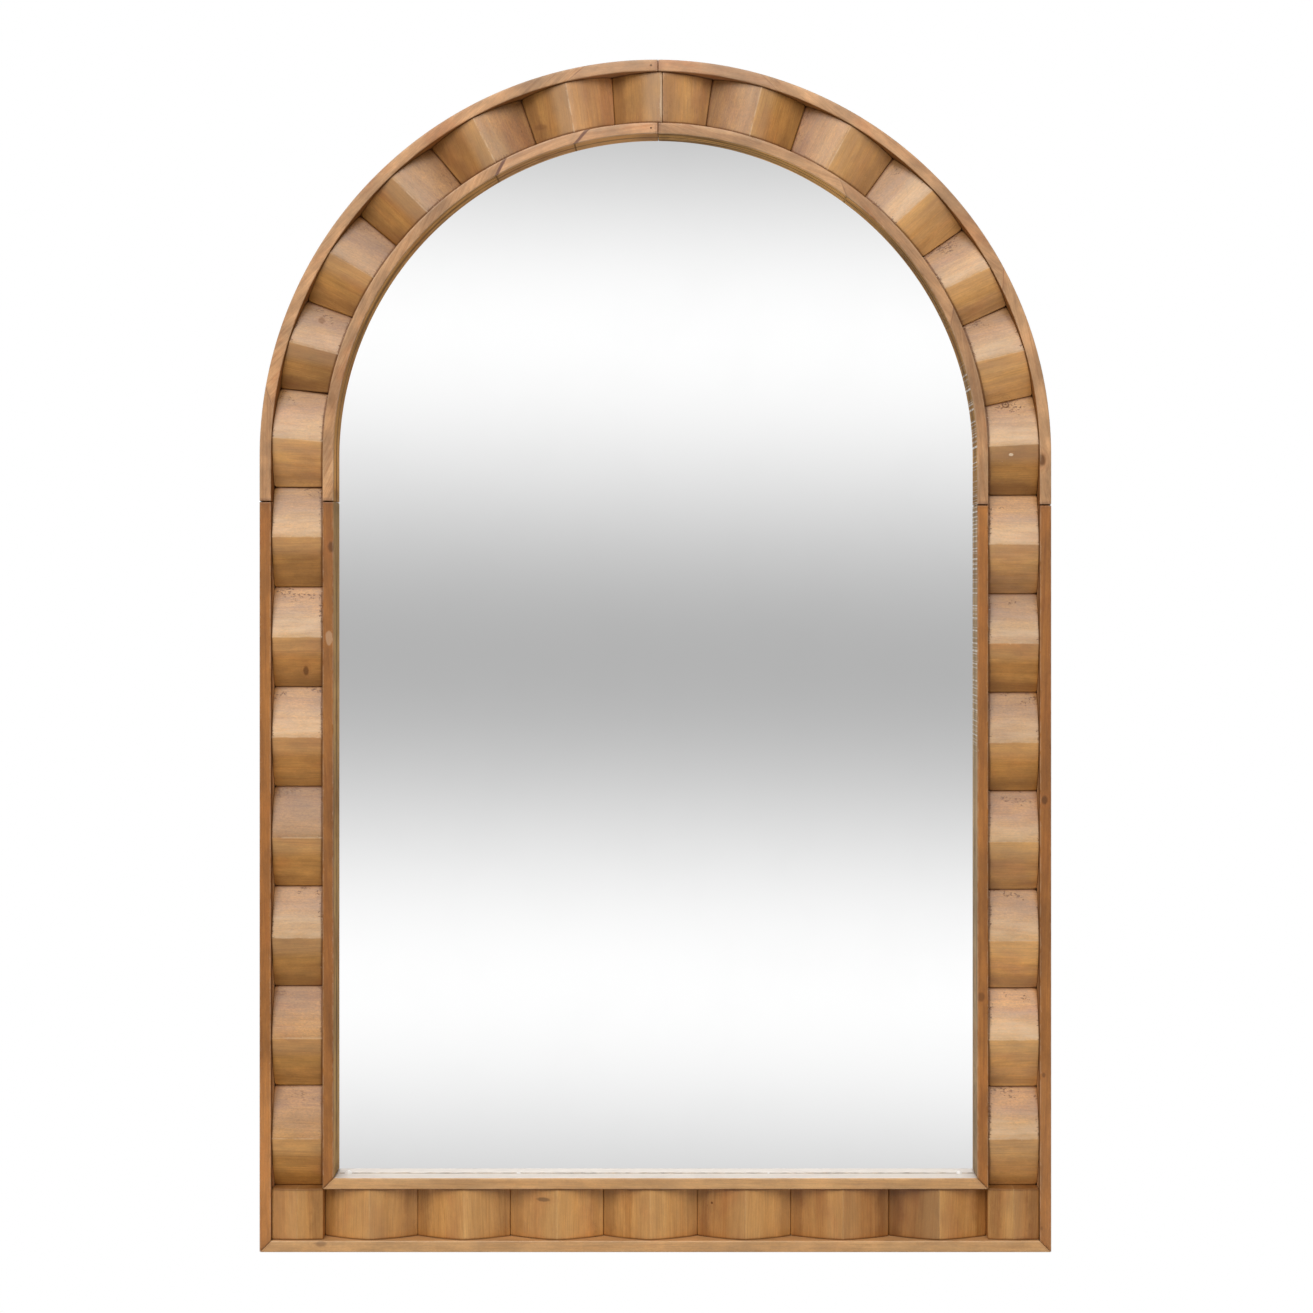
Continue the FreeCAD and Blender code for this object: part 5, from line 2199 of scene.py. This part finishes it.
@dataclass(frozen=True)
class MirrorPane:
    """The silvered glass, its backing, and the glue that shows along its foot.

    Each lump of glue has its place along the foot, half width and height.
    """

    bead: float = 0.00075
    step: float = 0.0016
    waves: float = 130.0
    turns: tuple[float, ...] = (0.0, 0.35, 0.8, 1.2, 1.57)
    lumps: tuple[Triple, ...] = (
        (-0.3096, 0.0036, 0.0022), (0.3060, 0.0024, 0.0016), (-0.138, 0.0020, 0.0007), (0.114, 0.0014, 0.0006),
    )

    def glue(self) -> Object:
        """Make a thin uneven bead of glue where the foot's rail meets the glass.

        Returns:
            The bead's object.
        """
        corners, lumpy = [], []
        half, glass = SIZES.half - SIZES.opening, SIZES.back - SIZES.rebate_depth
        runs = [-half, *even(-half, half, int(2 * half / self.step)), half]
        for run in runs:
            thick = noise.noise(Vector((run * self.waves, 3.0, 0.3)))
            lump = sum(tall * max(0.0, 1 - ((run - at) / wide) ** 2) for at, wide, tall in self.lumps)
            size = self.bead * (0.8 + 0.5 * thick) + lump * (1 + 0.6 * thick)
            for turn in self.turns:
                corners.append((run, glass - size * math.sin(turn), SIZES.opening + size * math.cos(turn)))
                lumpy += [lump / self.bead, 0.0, 0.0]
        made = smooth_piece("glue_bead_foot", corners, woven(len(runs), len(self.turns), sides=False))
        carry(made, "lump", "POINT", lumpy)
        return made

    def build(self) -> None:
        """Dress the glass and the board, and run the glue along the foot."""
        dress("mirror_glass", MirrorFinish("silvered_glass").material())
        dress("backing_board", BoardFinish("brown_hardboard").material())
        deliver(self.glue(), "frame", "hardboard", [], GlueFinish("set_glue").material())


@dataclass(frozen=True)
class Base:
    """The plywood base behind the blocks, and the brads in the rails."""

    def build(self) -> None:
        """Dress the base and the brads."""
        plywood = PlywoodFinish("raw_plywood").material()
        for name in ("base_left", "base_right", "base_bottom"):
            dress(name, plywood)
        dress("rail_brads", MetalFinish("dull_brad", Plating.BRAD).material())


# ---------------- studio


@dataclass(frozen=True)
class Studio:
    """Camera, floor, lamp and surroundings.

    Polished things see soft bands of light, which lean to one side, begin at a height in degrees, and widen upwards.
    """

    lens: float = 68.545
    camera: Triple = (0.037, -2.519, 0.6644)
    frame_x: float = 0.0011
    frame_z: float = 0.5959
    frame_width: float = 1.313
    floor_z: float = -0.5
    floor_edges: tuple[Point, ...] = ((-5.0, -6.0), (5.0, -6.0), (5.0, 1.4), (-5.0, 1.4))
    lamp: Triple = (-0.8, -4.2, 4.2)
    lamp_aim: Triple = (0.0, 0.0, 0.6)
    lamp_width: float = 5.4
    lamp_height: float = 3.9
    lamp_power: float = 285.0
    under: float = 0.50
    over: float = 0.15
    band_lean: float = 1.25
    band_start: float = 5.8
    band_widening: float = 0.15
    band_spacing: float = 14.9
    band_depth: float = 0.285
    band_level: float = 0.755

    def stand_camera(self) -> None:
        """Stand the camera where the photograph was taken."""
        data = bpy.data.cameras.new("studio_camera")
        data.lens = self.lens
        data.sensor_width = 36.0
        data.shift_x = (self.frame_x - self.camera[0]) / self.frame_width
        data.shift_y = (self.frame_z - self.camera[2]) / self.frame_width
        data.clip_end = 60.0
        made = linked("studio_camera", data)
        made.location = self.camera
        made.rotation_euler = (math.pi / 2, 0.0, 0.0)
        bpy.context.scene.camera = made

    def hang_lamp(self) -> None:
        """Hang one wide soft lamp overhead in front."""
        data = bpy.data.lights.new("overhead_softbox", "AREA")
        data.shape = "RECTANGLE"
        data.size = self.lamp_width
        data.size_y = self.lamp_height
        data.energy = self.lamp_power
        made = linked("overhead_softbox", data)
        made.location = self.lamp
        aim = Vector(self.lamp_aim) - Vector(self.lamp)
        made.rotation_euler = aim.to_track_quat("-Z", "Y").to_euler()

    def light_room(self) -> None:
        """Light the room: white to the camera, soft bands to polished things, and an even fill."""
        world = bpy.data.worlds.new("studio")
        world.use_nodes = True
        world.node_tree.nodes.clear()
        bpy.context.scene.world = world
        graph = Graph(world.node_tree)
        aside, _, up = graph.split(graph.made("ShaderNodeTexCoord", {}, "Generated"))
        degrees = graph.maths("ARCSINE", up) * (180 / math.pi)
        past = degrees + aside * self.band_lean - self.band_start
        past = past + past.highest(0.0) * self.band_widening
        wave = graph.maths("COSINE", past * (2 * math.pi / self.band_spacing))
        bands = wave * self.band_depth + self.band_level
        banded = degrees.fade(19.0, 13.0) * degrees.fade(-20.0, -15.0) * graph.maths("ABSOLUTE", aside).fade(0.5, 0.25)
        seen = graph.blend(banded, degrees.fade(-60.0, 20.0, 0.30, 0.55), bands)
        light = degrees.fade(-25.0, 25.0, self.under, self.over)
        for ray, shown in (("Glossy", seen), ("Camera", (1.0, 1.0, 1.0)), ("Transmission", (1.0, 1.0, 1.0))):
            light = light.mixed(shown, graph.made("ShaderNodeLightPath", {}, f"Is {ray} Ray"))
        background = graph.made("ShaderNodeBackground", {"Color": light})
        graph.feed(graph.add("ShaderNodeOutputWorld").inputs["Surface"], background)

    def lay_floor(self) -> None:
        """Lay a pale floor that fades to white away from the mirror."""
        corners = [(x, y, self.floor_z) for x, y in self.floor_edges]
        made = smooth_piece("studio_floor", corners, [(0, 1, 2, 3)])
        made.data.materials.append(FloorFinish("pale_floor").material())
        made.visible_glossy = False

    def build(self) -> None:
        """Set the studio up."""
        self.stand_camera()
        self.hang_lamp()
        self.light_room()
        self.lay_floor()
        bpy.context.scene.view_settings.view_transform = "Standard"


# ---------------- assembly


def rail_sets() -> tuple[RailSet, RailSet]:
    """Give the two rings of rails, with their timbers and knots.

    Returns:
        The outer and the inner ring.
    """
    made = rail_finishes()
    outer = RailSet(
        "outer", 0.0, SIZES.outer_rail, False, made, random.Random(7),
        toned("amber honey rose, honey honey rose, honey, toffee, straw"),
        {Side.LEFT: (8.5, 78.3), Side.RIGHT: (27.0, 73.0)},
        {Side.LEFT: 0.12, Side.RIGHT: 0.1},
        {
            "outer_rail_side_right": (
                Knot(0.3893, 0.4524, 0.0035, 0.0050), Knot(0.3883, 0.1774, 0.0020, 0.0030, 0.8),
                Knot(0.3862, 0.0240, 0.0016, 0.0024, 0.6),
            ),
            "outer_rail_arch_right": (Knot(0.3864, 0.7924, 0.0046, 0.0070),),
            "outer_rail_bottom": (Knot(-0.3344, 0.0086, 0.0068, 0.0032, 0.6),),
        },
        foot=0.26,
    )
    inner = RailSet(
        "inner", SIZES.channel_in, SIZES.opening, True, made, random.Random(19),
        toned("honey rose rose, toffee amber honey, toffee, honey, straw"),
        {Side.LEFT: (61.8, 76.9), Side.RIGHT: (25.0, 55.0)},
        {Side.LEFT: 1.0, Side.RIGHT: 0.1},
        {
            "inner_rail_side_left": (
                Knot(-0.3240, 0.7054, 0.0040, 0.0064), Knot(-0.3264, 0.6144, 0.0036, 0.0076, 0.28, Mark.CHIP),
            ),
            "inner_rail_side_right": (Knot(0.3256, 0.2554, 0.0040, 0.0050, 0.7),),
            "inner_rail_arch_left": (Knot(-0.3234, 0.8524, 0.0040, 0.0110, 0.35),),
        },
    )
    return outer, inner


def main() -> None:
    """Build the mirror and its studio."""
    logging.basicConfig(level=logging.INFO, format="%(message)s")
    Studio().build()
    foot = WoodFinish(
        "foot_pine", early=(0.590, 0.288, 0.076), bare=(0.720, 0.480, 0.220), dust=(0.600, 0.400, 0.200), band=0.36,
        lines=0.42, hairs=0.40, contrast=0.25, blotch=0.08, cloudy=0.07, blush=0.30, wear=0.28, shade=0.40, crest=0.12,
        speckle=0.30, line=0.50,
    )
    BlockMoulding(WoodFinish("block_pine"), foot).build()
    for rails in rail_sets():
        rails.build()
    Base().build()
    MirrorPane().build()
    BackHardware().build()


if __name__ == "__main__":
    main()
